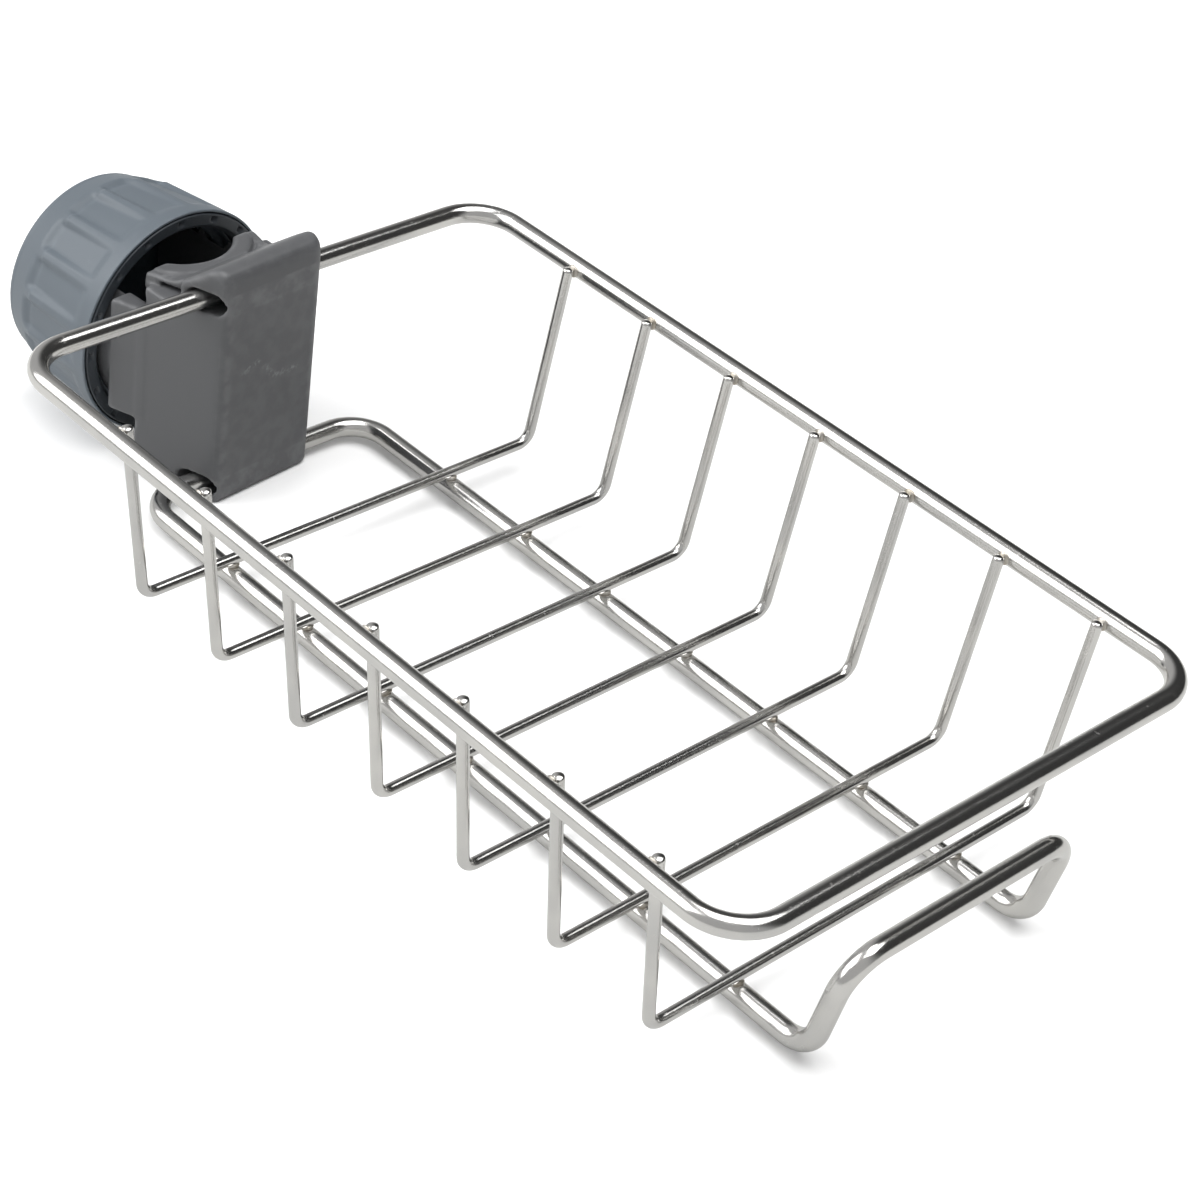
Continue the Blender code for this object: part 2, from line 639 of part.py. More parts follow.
def cap_profile():
    """The cap's wall, from its domed back down the grip and up inside to the floor."""
    dome = BACK_DISC_RADIUS - BACK_CORNER_RADIUS
    outside = [(0.0, CAP_LENGTH)]
    outside += [(dome, CAP_LENGTH - BACK_DOME)]
    corner = (dome, CAP_LENGTH - BACK_DOME - BACK_CORNER_RADIUS)
    outside += arc(corner, BACK_CORNER_RADIUS, 80, 0, OUTLINE_STEPS)
    outside += [
        (NECK_RADIUS, GRIP_LENGTH + GRIP_STEP),
        (GRIP_BACK_RADIUS, GRIP_LENGTH),
    ]
    lip = (MOUTH_RADIUS - MOUTH_EDGE_RADIUS, MOUTH_EDGE_RADIUS)
    outside += arc(lip, MOUTH_EDGE_RADIUS, 0, -90, 3)
    bead_low = RING_BEAD_START - RING_STAND - FIT_GAP
    bead_high = bead_low + RING_BEAD_WIDTH + 2 * FIT_GAP
    floor = CAP_LENGTH - BACK_WALL
    recess = RING_LENGTH - RING_STAND + FIT_GAP
    bead_radius = MOUTH_BORE_RADIUS + RING_BEAD
    seat = RING_FLANGE_LENGTH - RING_STAND + FIT_GAP
    inside = [
        (MOUTH_RECESS_RADIUS, 0.0),
        (MOUTH_RECESS_RADIUS, seat),
        (MOUTH_BORE_RADIUS, seat),
        (MOUTH_BORE_RADIUS, bead_low),
        (bead_radius, bead_low),
        (bead_radius, bead_high),
        (MOUTH_BORE_RADIUS, bead_high),
        (MOUTH_BORE_RADIUS, recess),
        (CAP_BORE_RADIUS, recess),
        (CAP_BORE_RADIUS, floor),
        (0.0, floor),
    ]
    return outside + inside


def flute_section(surface, height):
    """A flute cutter's outline across the cap: its curved floor, two flanks and walls that run on outwards."""
    floor = math.radians(FLUTE_FLOOR_DEGREES)
    half = math.radians(FLUTE_HALF_DEGREES)
    outside = surface + 2 * OVERRUN
    spots = [(surface - FLUTE_DEPTH, floor * step / FLUTE_STEPS) for step in range(-FLUTE_STEPS, FLUTE_STEPS + 1)]
    spots += [(surface, half), (outside, half), (outside, -half), (surface, -half)]
    return [(radius * math.cos(angle), radius * math.sin(angle), height) for radius, angle in spots]


def flute_cutter(index, screw_frame, cutters):
    """One wide shallow hollow that runs from the grip over its shoulder, with square ends."""
    cone_length = CAP_LENGTH - BACK_DOME - BACK_CORNER_RADIUS - GRIP_LENGTH - GRIP_STEP
    narrowing = (NECK_RADIUS - BACK_DISC_RADIUS) * (FLUTE_BACK_REACH - GRIP_STEP) / cone_length
    first = flute_section(MOUTH_RADIUS - GRIP_TAPER * FLUTE_MOUTH_GAP / GRIP_LENGTH, FLUTE_MOUTH_GAP)
    last = flute_section(NECK_RADIUS - narrowing, GRIP_LENGTH + FLUTE_BACK_REACH)
    count = len(first)
    faces = [(spot, spot + count, (spot + 1) % count + count, (spot + 1) % count) for spot in range(count)]
    faces += [tuple(range(count)), tuple(reversed(range(count, 2 * count)))]
    mesh = bpy.data.meshes.new(f"flute {index + 1}")
    mesh.from_pydata(first + last, [], faces)
    bar = add_object(f"flute {index + 1}", mesh, screw_frame, cutters)
    bar.rotation_euler = (0.0, 0.0, math.tau * index / FLUTE_COUNT + math.radians(FLUTE_TURN_DEGREES))
    return as_cutter(bar)


def make_screw_cap(screw_frame, material, parts, cutters):
    """The hollow screw cap with a fluted grip outside and a thread inside."""
    cap = turned("screw_cap", cap_profile(), screw_frame, parts)
    first = RING_LENGTH + THREAD_ROOT_WIDTH
    last = CAP_LENGTH - BACK_WALL - THREAD_ROOT_WIDTH - OVERRUN
    foot = CAP_BORE_RADIUS + THREAD_BURY
    ridge = helical_ridge("cap thread", foot, CAP_CREST_RADIUS, first, last, math.pi, screw_frame, cutters)
    boolean(cap, ridge, "UNION")
    for index in range(FLUTE_COUNT):
        boolean(cap, flute_cutter(index, screw_frame, cutters), "DIFFERENCE")
    cap.data.materials.append(material)
    smooth_by_angle(cap)
    return cap


def make_pressure_ring(screw_frame, material, parts):
    """The loose ring in the cap's mouth, held by a bead that snaps into the cap's groove."""
    top = RING_LENGTH - RING_STAND
    low = -RING_STAND
    bead_low = low + RING_BEAD_START
    bead_high = bead_low + RING_BEAD_WIDTH
    bead = RING_OUTER_RADIUS + RING_BEAD
    profile = [
        (RING_INNER_RADIUS, top),
        (RING_OUTER_RADIUS, top),
        (RING_OUTER_RADIUS, bead_high),
        (bead, bead_high),
        (bead, bead_low),
        (RING_OUTER_RADIUS, bead_low),
        (RING_OUTER_RADIUS, low + RING_FLANGE_LENGTH),
        (FLANGE_RADIUS, low + RING_FLANGE_LENGTH),
        (FLANGE_RADIUS, low),
        (RING_INNER_RADIUS, low),
    ]
    ring = turned("pressure_ring", profile, screw_frame, parts)
    ring.data.materials.append(material)
    smooth_by_angle(ring)
    return ring


def set_down(rack_frame, parts):
    """Move the rack so that it stands on Z = 0 with the middle of its box on the Z axis."""
    bpy.context.view_layer.update()
    graph = bpy.context.evaluated_depsgraph_get()
    low = Vector((math.inf, math.inf, math.inf))
    high = -low
    for item in parts.objects:
        if item.type == "EMPTY":
            continue
        evaluated = item.evaluated_get(graph)
        mesh = evaluated.to_mesh()
        for vertex in mesh.vertices:
            place = evaluated.matrix_world @ vertex.co
            low = Vector(map(min, low, place))
            high = Vector(map(max, high, place))
        evaluated.to_mesh_clear()
    rack_frame.location -= Vector(((low.x + high.x) / 2, (low.y + high.y) / 2, low.z))


def main():
    """Build the rack."""
    clear_scene()
    parts = new_collection("faucet_organizer_rack")
    cutters = new_collection("cutters")
    steel = new_material("polished_steel_wire", (0.62, 0.62, 0.61), 0.18, 1.0)
    body_plastic = new_material("clamp_plastic", (0.14, 0.14, 0.15), 0.5, 0.0)
    cap_plastic = new_material("cap_plastic", (0.22, 0.25, 0.28), 0.5, 0.0)
    ring_plastic = new_material("ring_plastic", (0.09, 0.10, 0.11), 0.6, 0.0)

    rack_frame = new_empty("rack_frame", None, (0.0, 0.0, 0.0), (0.0, 0.0, 0.0), parts)
    clamp_place = (-CLAMP_OFFSET * math.sin(YAW), CLAMP_OFFSET * math.cos(YAW), 0.0)
    clamp_frame = new_empty("clamp_frame", rack_frame, clamp_place, (0.0, 0.0, YAW), parts)
    screw_place = (-MOUTH_DEPTH, 0.0, AXIS_Z)
    screw_turn = (0.0, math.radians(-90), 0.0)
    screw_frame = new_empty("screw_frame", clamp_frame, screw_place, screw_turn, parts)

    make_rim(rack_frame, steel, parts)
    make_lower_frame(rack_frame, steel, parts)
    make_cross_wires(rack_frame, steel, parts)
    make_clamp_base(clamp_frame, screw_frame, body_plastic, parts, cutters)
    make_pressure_ring(screw_frame, ring_plastic, parts)
    make_screw_cap(screw_frame, cap_plastic, parts, cutters)
    set_down(rack_frame, parts)
    cutters.hide_viewport = False


main()
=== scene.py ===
# %% [markdown]
# # A wire basket that hangs on a tap
# A basket of polished steel wire is carried by a moulded grey clamp, which a screw cap tightens
# round a tap's pipe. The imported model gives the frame: where every piece is and how it moves.
# Here each piece gets its finished skin. Most skins are functions of two parameters, worked out
# as whole arrays with numpy, and the clamp body is a solid described by its distance field.

import math

import bmesh
import bpy
import numpy as np
from mathutils import Matrix, Vector


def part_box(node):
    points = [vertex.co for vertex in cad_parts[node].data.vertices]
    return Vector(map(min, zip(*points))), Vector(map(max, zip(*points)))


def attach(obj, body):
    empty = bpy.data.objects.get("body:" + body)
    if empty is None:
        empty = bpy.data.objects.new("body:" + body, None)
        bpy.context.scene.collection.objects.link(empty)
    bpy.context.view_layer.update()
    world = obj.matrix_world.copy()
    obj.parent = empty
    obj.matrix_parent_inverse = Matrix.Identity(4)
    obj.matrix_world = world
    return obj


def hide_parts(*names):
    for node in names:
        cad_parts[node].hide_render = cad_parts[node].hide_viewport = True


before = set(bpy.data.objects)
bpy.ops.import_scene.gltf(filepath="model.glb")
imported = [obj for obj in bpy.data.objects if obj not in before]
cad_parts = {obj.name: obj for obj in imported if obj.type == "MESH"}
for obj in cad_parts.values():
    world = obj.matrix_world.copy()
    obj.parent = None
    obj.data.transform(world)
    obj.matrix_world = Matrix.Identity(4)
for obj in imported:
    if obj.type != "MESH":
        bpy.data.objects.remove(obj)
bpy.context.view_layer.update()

# %% [markdown]
# ## Where things are
# The rack is easiest to describe in its own frame: X along the basket from the rim wire at the
# clamp's end, Y across, Z up from the floor wires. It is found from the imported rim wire's box, so
# the skins land exactly on the solids. The clamp sits on its two wires with a little play, so its
# own frame is the rack's, turned by a few degrees and shifted across. All lengths are in metres.

# %% Frames
HEAVY = 0.00225
LIGHT = 0.00125
RIM_HEIGHT = 0.0425

rim_low, rim_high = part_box("rim_wire")
RACK_ORIGIN = np.array([rim_low.x + HEAVY, (rim_low.y + rim_high.y) / 2, rim_high.z - HEAVY - RIM_HEIGHT])

CLAMP_YAW = math.radians(5.3)
CLAMP_OFFSET = -0.00185
turn_cos = math.cos(CLAMP_YAW)
turn_sin = math.sin(CLAMP_YAW)
CLAMP_TURN = np.array([[turn_cos, -turn_sin, 0.0], [turn_sin, turn_cos, 0.0], [0.0, 0.0, 1.0]])
CLAMP_ORIGIN = RACK_ORIGIN + CLAMP_TURN @ np.array([0.0, CLAMP_OFFSET, 0.0])

MOUTH_DEPTH = 0.0246
AXIS_Z = 0.019975


def from_rack(points):
    """Rack coordinates to the shared frame: one shift."""
    return points + RACK_ORIGIN


def from_clamp(points):
    """Clamp coordinates to the shared frame: a turn about Z, then a shift."""
    return points @ CLAMP_TURN.T + CLAMP_ORIGIN


def from_screw(points):
    """Screw coordinates to the shared frame. Z is the cap's axis and points away from the basket."""
    x, y, z = np.moveaxis(points, -1, 0)
    return from_clamp(np.stack([-MOUTH_DEPTH - z, y, AXIS_Z + x], axis=-1))


print("rack origin, mm:", (RACK_ORIGIN * 1000).round(2))
print("clamp origin, mm:", (CLAMP_ORIGIN * 1000).round(2))

# %% [markdown]
# ## The camera
# The photograph is taken from the near right, from above, with a long lens and a tilted horizon.
# A camera is three unit vectors: where it looks, its right and its up. Azimuth and elevation give the
# first, and the roll turns the other two about it.

# %% Camera
CAMERA_PLACE = np.array([0.424299, -0.349937, 0.370709])
AZIMUTH = math.radians(41.949)
ELEVATION = math.radians(36.254)
ROLL = 0.156
LENS = 88.815
SENSOR = 36.0

level_look = np.array([-math.sin(AZIMUTH), math.cos(AZIMUTH), 0.0])
look = level_look * math.cos(ELEVATION) - np.array([0.0, 0.0, math.sin(ELEVATION)])
level_right = np.array([math.cos(AZIMUTH), math.sin(AZIMUTH), 0.0])
level_up = np.cross(level_right, look)
right = level_right * math.cos(ROLL) + level_up * math.sin(ROLL)
up = level_up * math.cos(ROLL) - level_right * math.sin(ROLL)

camera_data = bpy.data.cameras.new("photo_camera")
camera_data.lens = LENS
camera_data.sensor_width = SENSOR
camera_data.clip_start = 0.01
camera_data.clip_end = 50.0
camera = bpy.data.objects.new("photo_camera", camera_data)
bpy.context.scene.collection.objects.link(camera)
pose = np.eye(4)
pose[:3] = np.stack([right, up, -look, from_rack(CAMERA_PLACE)], axis=1)
camera.matrix_world = Matrix(pose.tolist())
bpy.context.scene.camera = camera
print("camera to rack origin, m:", round(float(np.linalg.norm(CAMERA_PLACE)), 3))

# %% [markdown]
# ## Meshes from grids
# A skin is a grid of points: rows along the piece, columns round it. Closing the columns makes a
# tube, closing the rows too makes a ring, and a row that shrinks to one point makes a pole. The
# helpers below turn such a grid into a mesh, merge what coincides and point the faces outwards.


# %% Grid to mesh
def add_piece(name, mesh, body, slot, *nodes):
    """Link a finished mesh, let it ride on its body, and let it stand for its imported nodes."""
    piece = bpy.data.objects.new(name, mesh)
    bpy.context.scene.collection.objects.link(piece)
    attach(piece, body)
    if nodes:
        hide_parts(*nodes)
    return piece


def mesh_of(name, points, quads, run=None, **marks):
    """A mesh from points and quads. run holds each corner's place for the UV map."""
    mesh = bpy.data.meshes.new(name)
    mesh.vertices.add(len(points))
    mesh.vertices.foreach_set("co", points.astype(np.float32).ravel())
    mesh.loops.add(quads.size)
    mesh.loops.foreach_set("vertex_index", quads.astype(np.int32).ravel())
    mesh.polygons.add(len(quads))
    mesh.polygons.foreach_set("loop_start", np.arange(0, quads.size, 4, dtype=np.int32))
    mesh.update(calc_edges=True)
    for mark, values in marks.items():
        layer = mesh.attributes.new(mark, "FLOAT", "POINT")
        layer.data.foreach_set("value", values.astype(np.float32).ravel())
    if run is not None:
        layer = mesh.uv_layers.new(name="run")
        layer.data.foreach_set("uv", run.astype(np.float32).ravel())
    return mesh


def tidy(mesh):
    """Merge points that coincide, point all faces outwards and shade them smooth."""
    work = bmesh.new()
    work.from_mesh(mesh)
    bmesh.ops.remove_doubles(work, verts=work.verts, dist=1e-7)
    bmesh.ops.recalc_face_normals(work, faces=work.faces)
    work.to_mesh(mesh)
    work.free()
    mesh.shade_smooth()
    mesh.validate()
    return mesh


def grid_quads(rows, columns, close_rows, close_columns):
    """Corner numbers of a grid's quads: (i, j), (i+1, j), (i+1, j+1), (i, j+1)."""
    i = np.arange(rows if close_rows else rows - 1)[:, None]
    j = np.arange(columns if close_columns else columns - 1)[None, :]
    below = (i + 1) % rows
    beside = (j + 1) % columns
    corners = np.stack(
        [i * columns + j, below * columns + j, below * columns + beside, i * columns + beside], axis=-1
    )
    return corners.reshape(-1, 4), (i, j)


def skin(name, grid, close_rows, close_columns, length=None, **marks):
    """A mesh over a grid of points. length gives each row's distance along the piece, for the UV map."""
    rows, columns = grid.shape[:2]
    quads, (i, j) = grid_quads(rows, columns, close_rows, close_columns)
    run = None
    if length is not None:
        ends = np.append(length, 2 * length[-1] - length[-2])
        u = np.stack([ends[i], ends[i + 1], ends[i + 1], ends[i]], axis=-1)
        v = np.stack([j, j, j + 1, j + 1], axis=-1) / columns
        run = np.stack(np.broadcast_arrays(u, v), axis=-1)
    return tidy(mesh_of(name, grid.reshape(-1, 3), quads, run, **marks))


# %% [markdown]
# ## Wires
# A bent wire is a circle carried along a centre line. The line has straight runs, and an arc in each
# corner, as the wire has where it was bent round a pin. The circle needs two directions square to
# the line; since only a round section is carried, any pair that turns smoothly will do.

# %% Bent wire
ARC_PITCH, ARC_POINTS = 0.00045, 6
END_ROWS = 6
NEVER_ALONG = np.array([0.48, 0.62, 0.62])


def bent_line(corners, radii, closed, pitch=0.0010):
    """Centre line with an arc in each corner.

    With a and b the unit arms from a corner to its neighbours, h half the angle between them and r
    the bend radius, the arc's centre is the corner + (a + b) / |a + b| * r / sin h. The arc starts
    r / tan h along a and turns by pi - 2 h: centre + cos t * start + sin t * r * (-a).
    """
    corners = np.array(corners, dtype=float)
    pieces = []
    for index, (corner, radius) in enumerate(zip(corners, radii)):
        if radius == 0:
            pieces.append(corner[None])
            continue
        a = corners[index - 1] - corner
        b = corners[(index + 1) % len(corners)] - corner
        a /= np.linalg.norm(a)
        b /= np.linalg.norm(b)
        half = math.acos(np.clip(a @ b, -1, 1)) / 2
        middle = corner + (a + b) / np.linalg.norm(a + b) * radius / math.sin(half)
        start = corner + a * radius / math.tan(half) - middle
        turn = math.pi - 2 * half
        t = np.linspace(0, turn, max(ARC_POINTS, round(turn * radius / ARC_PITCH)))[:, None]
        pieces.append(middle + np.cos(t) * start + np.sin(t) * radius * -a)
    line = np.concatenate(pieces)
    after = np.roll(line, -1, axis=0) if closed else line[1:]
    before = line if closed else line[:-1]
    gaps = np.linalg.norm(after - before, axis=1)
    counts = np.maximum(1, (gaps / pitch).round().astype(int))
    fill = [a + (b - a) * np.arange(n)[:, None] / n for a, b, n in zip(before, after, counts)]
    return np.concatenate(fill if closed else fill + [line[-1:]])


def wire_grid(line, radius, closed, sides, dome=0.45):
    """Skin of a round wire: line + r * (cos v * side + sin v * up), v once round for each point.

    An open wire ends in two flattened domes, r cos w wide and dome * r * sin w long.
    """
    size = np.full(len(line), radius)
    if not closed:
        w = np.linspace(0, math.pi / 2, END_ROWS)[1:]
        first = (line[0] - line[1]) / np.linalg.norm(line[0] - line[1])
        last = (line[-1] - line[-2]) / np.linalg.norm(line[-1] - line[-2])
        reach = (dome * radius * np.sin(w))[:, None]
        head = (line[0] - first * dome * radius + first * reach)[::-1]
        tail = line[-1] - last * dome * radius + last * reach
        line = np.concatenate([head, line[1:-1], tail])
        size = np.concatenate([(radius * np.cos(w))[::-1], size[1:-1], radius * np.cos(w)])
    ahead = np.roll(line, -1, axis=0) - np.roll(line, 1, axis=0)
    if not closed:
        ahead[:END_ROWS] = line[END_ROWS + 1] - line[END_ROWS]
        ahead[-END_ROWS:] = line[-END_ROWS - 1] - line[-END_ROWS - 2]
    ahead /= np.linalg.norm(ahead, axis=1, keepdims=True)
    side = np.cross(ahead, NEVER_ALONG)
    side /= np.linalg.norm(side, axis=1, keepdims=True)
    up_side = np.cross(side, ahead)
    v = np.linspace(0, 2 * math.pi, sides, endpoint=False)[None, :, None]
    grid = line[:, None] + size[:, None, None] * (np.cos(v) * side[:, None] + np.sin(v) * up_side[:, None])
    steps = np.linalg.norm(np.diff(line, axis=0), axis=1)
    return grid, np.concatenate([[0.0], np.cumsum(steps)])


# %% [markdown]
# ### Rim, lower frame and cross wires
# Two heavy wires are closed loops: the rim, and the lower frame whose free end kicks up into a
# raised bar. Seven light wires are bent to a U, and stand inside the rim with their cut ends just
# proud of it. The sizes repeat the solid model's, apart from the cut ends: as in the photograph, they
# stand 0.4 mm lower.

# %% Wire centre lines
WELD_GAP = 0.00025
RIM_LENGTH = 0.2070
RIM_HALF = 0.0624
RIM_BEND = 0.011
LOWER_HALF = 0.030275
LOWER_Z = -(HEAVY + LIGHT + WELD_GAP)
LOWER_START = 0.0011
LOWER_BEND = 0.009
BAR_X = RIM_LENGTH + 0.0011
BAR_FOOT_X = BAR_X - 0.0044
BAR_HEIGHT = 0.0206
BAR_FOOT_BEND = 0.007
BAR_BEND = 0.008

rim_line = bent_line(
    [
        (0, -RIM_HALF, RIM_HEIGHT),
        (RIM_LENGTH, -RIM_HALF, RIM_HEIGHT),
        (RIM_LENGTH, RIM_HALF, RIM_HEIGHT),
        (0, RIM_HALF, RIM_HEIGHT),
    ],
    [RIM_BEND] * 4,
    True,
)
lower_line = bent_line(
    [
        (LOWER_START, -LOWER_HALF, LOWER_Z),
        (BAR_FOOT_X, -LOWER_HALF, LOWER_Z),
        (BAR_X, -LOWER_HALF, BAR_HEIGHT),
        (BAR_X, LOWER_HALF, BAR_HEIGHT),
        (BAR_FOOT_X, LOWER_HALF, LOWER_Z),
        (LOWER_START, LOWER_HALF, LOWER_Z),
    ],
    [LOWER_BEND, BAR_FOOT_BEND, BAR_BEND, BAR_BEND, BAR_FOOT_BEND, LOWER_BEND],
    True,
)

FIRST_WIRE_X, LAST_WIRE_GAP, CROSS_WIRES = 0.0326, 0.0223, 7
WIRE_XS = np.linspace(FIRST_WIRE_X, RIM_LENGTH - LAST_WIRE_GAP, CROSS_WIRES)
SIDE_SPREAD = 0.0055
LEAN = math.atan2(SIDE_SPREAD, RIM_HEIGHT)
RIM_SEAT = RIM_HALF - HEAVY - LIGHT - WELD_GAP + LIGHT * (1 - 1 / math.cos(LEAN))
FLOOR_HALF = RIM_SEAT - SIDE_SPREAD
WIRE_TOP = RIM_HEIGHT + 0.0012
WIRE_TOP_Y = FLOOR_HALF + SIDE_SPREAD * WIRE_TOP / RIM_HEIGHT
WIRE_BEND = 0.0035


def cross_line(x):
    """Centre line of one cross wire: down one side, across the floor, up the other."""
    return bent_line(
        [(x, -WIRE_TOP_Y, WIRE_TOP), (x, -FLOOR_HALF, 0), (x, FLOOR_HALF, 0), (x, WIRE_TOP_Y, WIRE_TOP)],
        [0, WIRE_BEND, WIRE_BEND, 0],
        False,
    )


print("rim line points:", len(rim_line), "lower:", len(lower_line), "cross:", len(cross_line(0.0)))

# %% [markdown]
# ### Spot welds
# Where two wires cross they are spot-welded: the metal melts between them, and a small flat bead
# squeezes out round the contact. Each bead is a flattened ball, and all of them are worked out in
# one array. The heat also tints the steel nearby, so each wire keeps a mark of how close the next
# weld is.

# %% Welds
WELD_ROWS, WELD_COLUMNS = 14, 20
RIM_WELD = [0.0014, 0.0006, 0.0015]
FLOOR_WELD = [0.0014, 0.0015, 0.0006]

rim_weld_y = RIM_HALF - HEAVY
sides = np.array([-1.0, 1.0])
rim_welds = np.array([[x, s * rim_weld_y, RIM_HEIGHT] for x in WIRE_XS for s in sides])
floor_welds = np.array([[x, s * LOWER_HALF, -LIGHT] for x in WIRE_XS for s in sides])
weld_places = np.concatenate([rim_welds, floor_welds])
weld_sizes = np.array([RIM_WELD] * len(rim_welds) + [FLOOR_WELD] * len(floor_welds))


def heat_mark(points, reach=0.0035):
    """How hot a point got: exp(-(d / reach)^2), with d the distance to the nearest weld."""
    flat = points.reshape(-1, 3)
    nearest = np.min([np.linalg.norm(flat - weld, axis=1) for weld in weld_places], axis=0)
    return np.exp(-((nearest / reach) ** 2))


def weld_grid(places, size, rows, columns):
    """Flattened balls: place + size * (sin u cos v, sin u sin v, cos u), with a slight wobble."""
    u = np.linspace(0, math.pi, rows)[None, :, None]
    v = np.linspace(0, 2 * math.pi, columns, endpoint=False)[None, None, :]
    seed = np.arange(len(places))[:, None, None]
    wobble = 1 + 0.07 * np.sin(3 * v + 1.7 * seed) * np.sin(u) + 0.05 * np.sin(2 * v + 2.3 * seed)
    parts = np.broadcast_arrays(np.sin(u) * np.cos(v) * wobble, np.sin(u) * np.sin(v) * wobble, np.cos(u))
    return places[:, None, None, :] + np.stack(parts, axis=-1) * size[:, None, None, :]


weld_points = from_rack(weld_grid(weld_places, weld_sizes, WELD_ROWS, WELD_COLUMNS))
one_ball, _ = grid_quads(WELD_ROWS, WELD_COLUMNS, False, True)
first_point = (np.arange(len(weld_places)) * WELD_ROWS * WELD_COLUMNS)[:, None, None]
weld_quads = (one_ball[None] + first_point).reshape(-1, 4)
weld_mesh = tidy(mesh_of("spot_welds", weld_points.reshape(-1, 3), weld_quads))
spot_welds = add_piece("spot_welds", weld_mesh, "basket", "steel_wire")
print("welds:", len(weld_places))

# %% Wires as pieces
HEAVY_SIDES, LIGHT_SIDES = 24, 18


def add_wire(name, line, radius, closed, sides):
    """Skin one wire, with its length as UV and its weld heat as a mark."""
    grid, length = wire_grid(line, radius, closed, sides)
    mesh = skin(name + "_polished", from_rack(grid), closed, True, length, heat=heat_mark(grid))
    return add_piece(name + "_polished", mesh, "basket", "steel_wire", name)


wires = [
    add_wire("rim_wire", rim_line, HEAVY, True, HEAVY_SIDES),
    add_wire("lower_frame_wire", lower_line, HEAVY, True, HEAVY_SIDES),
]
for number, x in enumerate(WIRE_XS, start=1):
    wires.append(add_wire(f"cross_wire_{number}", cross_line(x), LIGHT, False, LIGHT_SIDES))
print("wires:", len(wires), "quads:", sum(len(w.data.polygons) for w in wires))

# %% [markdown]
# ## The clamp body
# The body is one moulding: a front plate, a block with two slots for the wires, a jaw with the
# half-round pipe seat, and two threaded arms. Moulded parts have no sharp edges, and a distance
# field gives that directly: for each point in space, how far it is from the surface, negative
# inside. Outlines become fields, fields are joined or cut with a rounded edge, and a net of quads
# is then spanned where the field passes through zero.

# %% Distance fields
# Edge radii of the moulding, from a fine cut's edge to an outer edge.
CRISP, TIGHT, MILD, SOFT = 0.0002, 0.0004, 0.0006, 0.0008


def outline_distance(x, y, outline):
    """Signed distance to a closed outline: the nearest edge's, negative where the winding is odd."""
    nearest = np.full(np.broadcast(x, y).shape, np.inf)
    sign = np.ones_like(nearest)
    for (ax, ay), (bx, by) in zip(outline, np.roll(outline, -1, axis=0)):
        ex, ey = bx - ax, by - ay
        wx, wy = x - ax, y - ay
        t = np.clip((wx * ex + wy * ey) / (ex * ex + ey * ey), 0, 1)
        nearest = np.minimum(nearest, (wx - ex * t) ** 2 + (wy - ey * t) ** 2)
        above, below, left = y >= ay, y < by, ex * wy > ey * wx
        flips = (above & below & left) | (~above & ~below & ~left)
        sign = np.where(flips, -sign, sign)
    return sign * np.sqrt(nearest)


def both(a, b, r):
    """Inside both fields, with the edge between them rounded to radius r."""
    return np.minimum(np.maximum(a, b), -r) + np.hypot(np.maximum(a + r, 0), np.maximum(b + r, 0))


def either(a, b, r):
    """Inside either field, with the inner corner between them filled to radius r."""
    return np.maximum(np.minimum(a, b), r) - np.hypot(np.maximum(r - a, 0), np.maximum(r - b, 0))


def without(a, b, r):
    """Field a with b cut away, and the cut's edge rounded to radius r."""
    return both(a, -b, r)


def flat_outline(corners, radii):
    """A closed outline in a plane, with an arc in each corner."""
    line = bent_line([(x, y, 0.0) for x, y in corners], radii, True, pitch=1.0)
    return line[:, :2]


# %% [markdown]
# ### Block, hood and jaw
# Seen from above, the block flares towards the pipe and the jaw stands out behind it. Seen from the
# side, the hood slopes down from the top of the front plate to the level jaw. Crossing the two
# outlines gives the block, with softer edges high on the hood.

# %% Block field
STEP = 0.00046
FRONT, FRONT_HALF = 0.0058137, 0.0137
FOOT = -0.0074
BLOCK_DEPTH, BLOCK_HALF = 0.0160, 0.0198
UNDERCUT = 0.0159
FLARE = (BLOCK_HALF - FRONT_HALF) / (BLOCK_DEPTH + FRONT)
JAW_DEPTH, JAW_HALF = 0.0185, 0.0157
JAW_TOP = RIM_HEIGHT - 0.0014
JAW_UNDER = JAW_TOP - 0.0042
HOOD_START = -0.0114
HOOD_SLOPE = math.tan(math.radians(37.5))
PLATE_CORNER, JAW_CORNER = 0.0030, 0.0010
FOOT_CORNER, BROW, HOOD_BLEND = 0.0020, 0.00375, 0.0060
EDGE_RADIUS, EDGE_GROWTH = 0.0009, 0.0010
SOFTER_FROM, SOFTER_OVER = 0.0440, 0.0040

gx = np.arange(-0.0510, 0.0075, STEP)
gy = np.arange(-0.0236, 0.0240, STEP)
gz = np.arange(-0.0090, 0.0520, STEP)
X, Y, Z = gx[:, None, None], gy[None, :, None], gz[None, None, :]

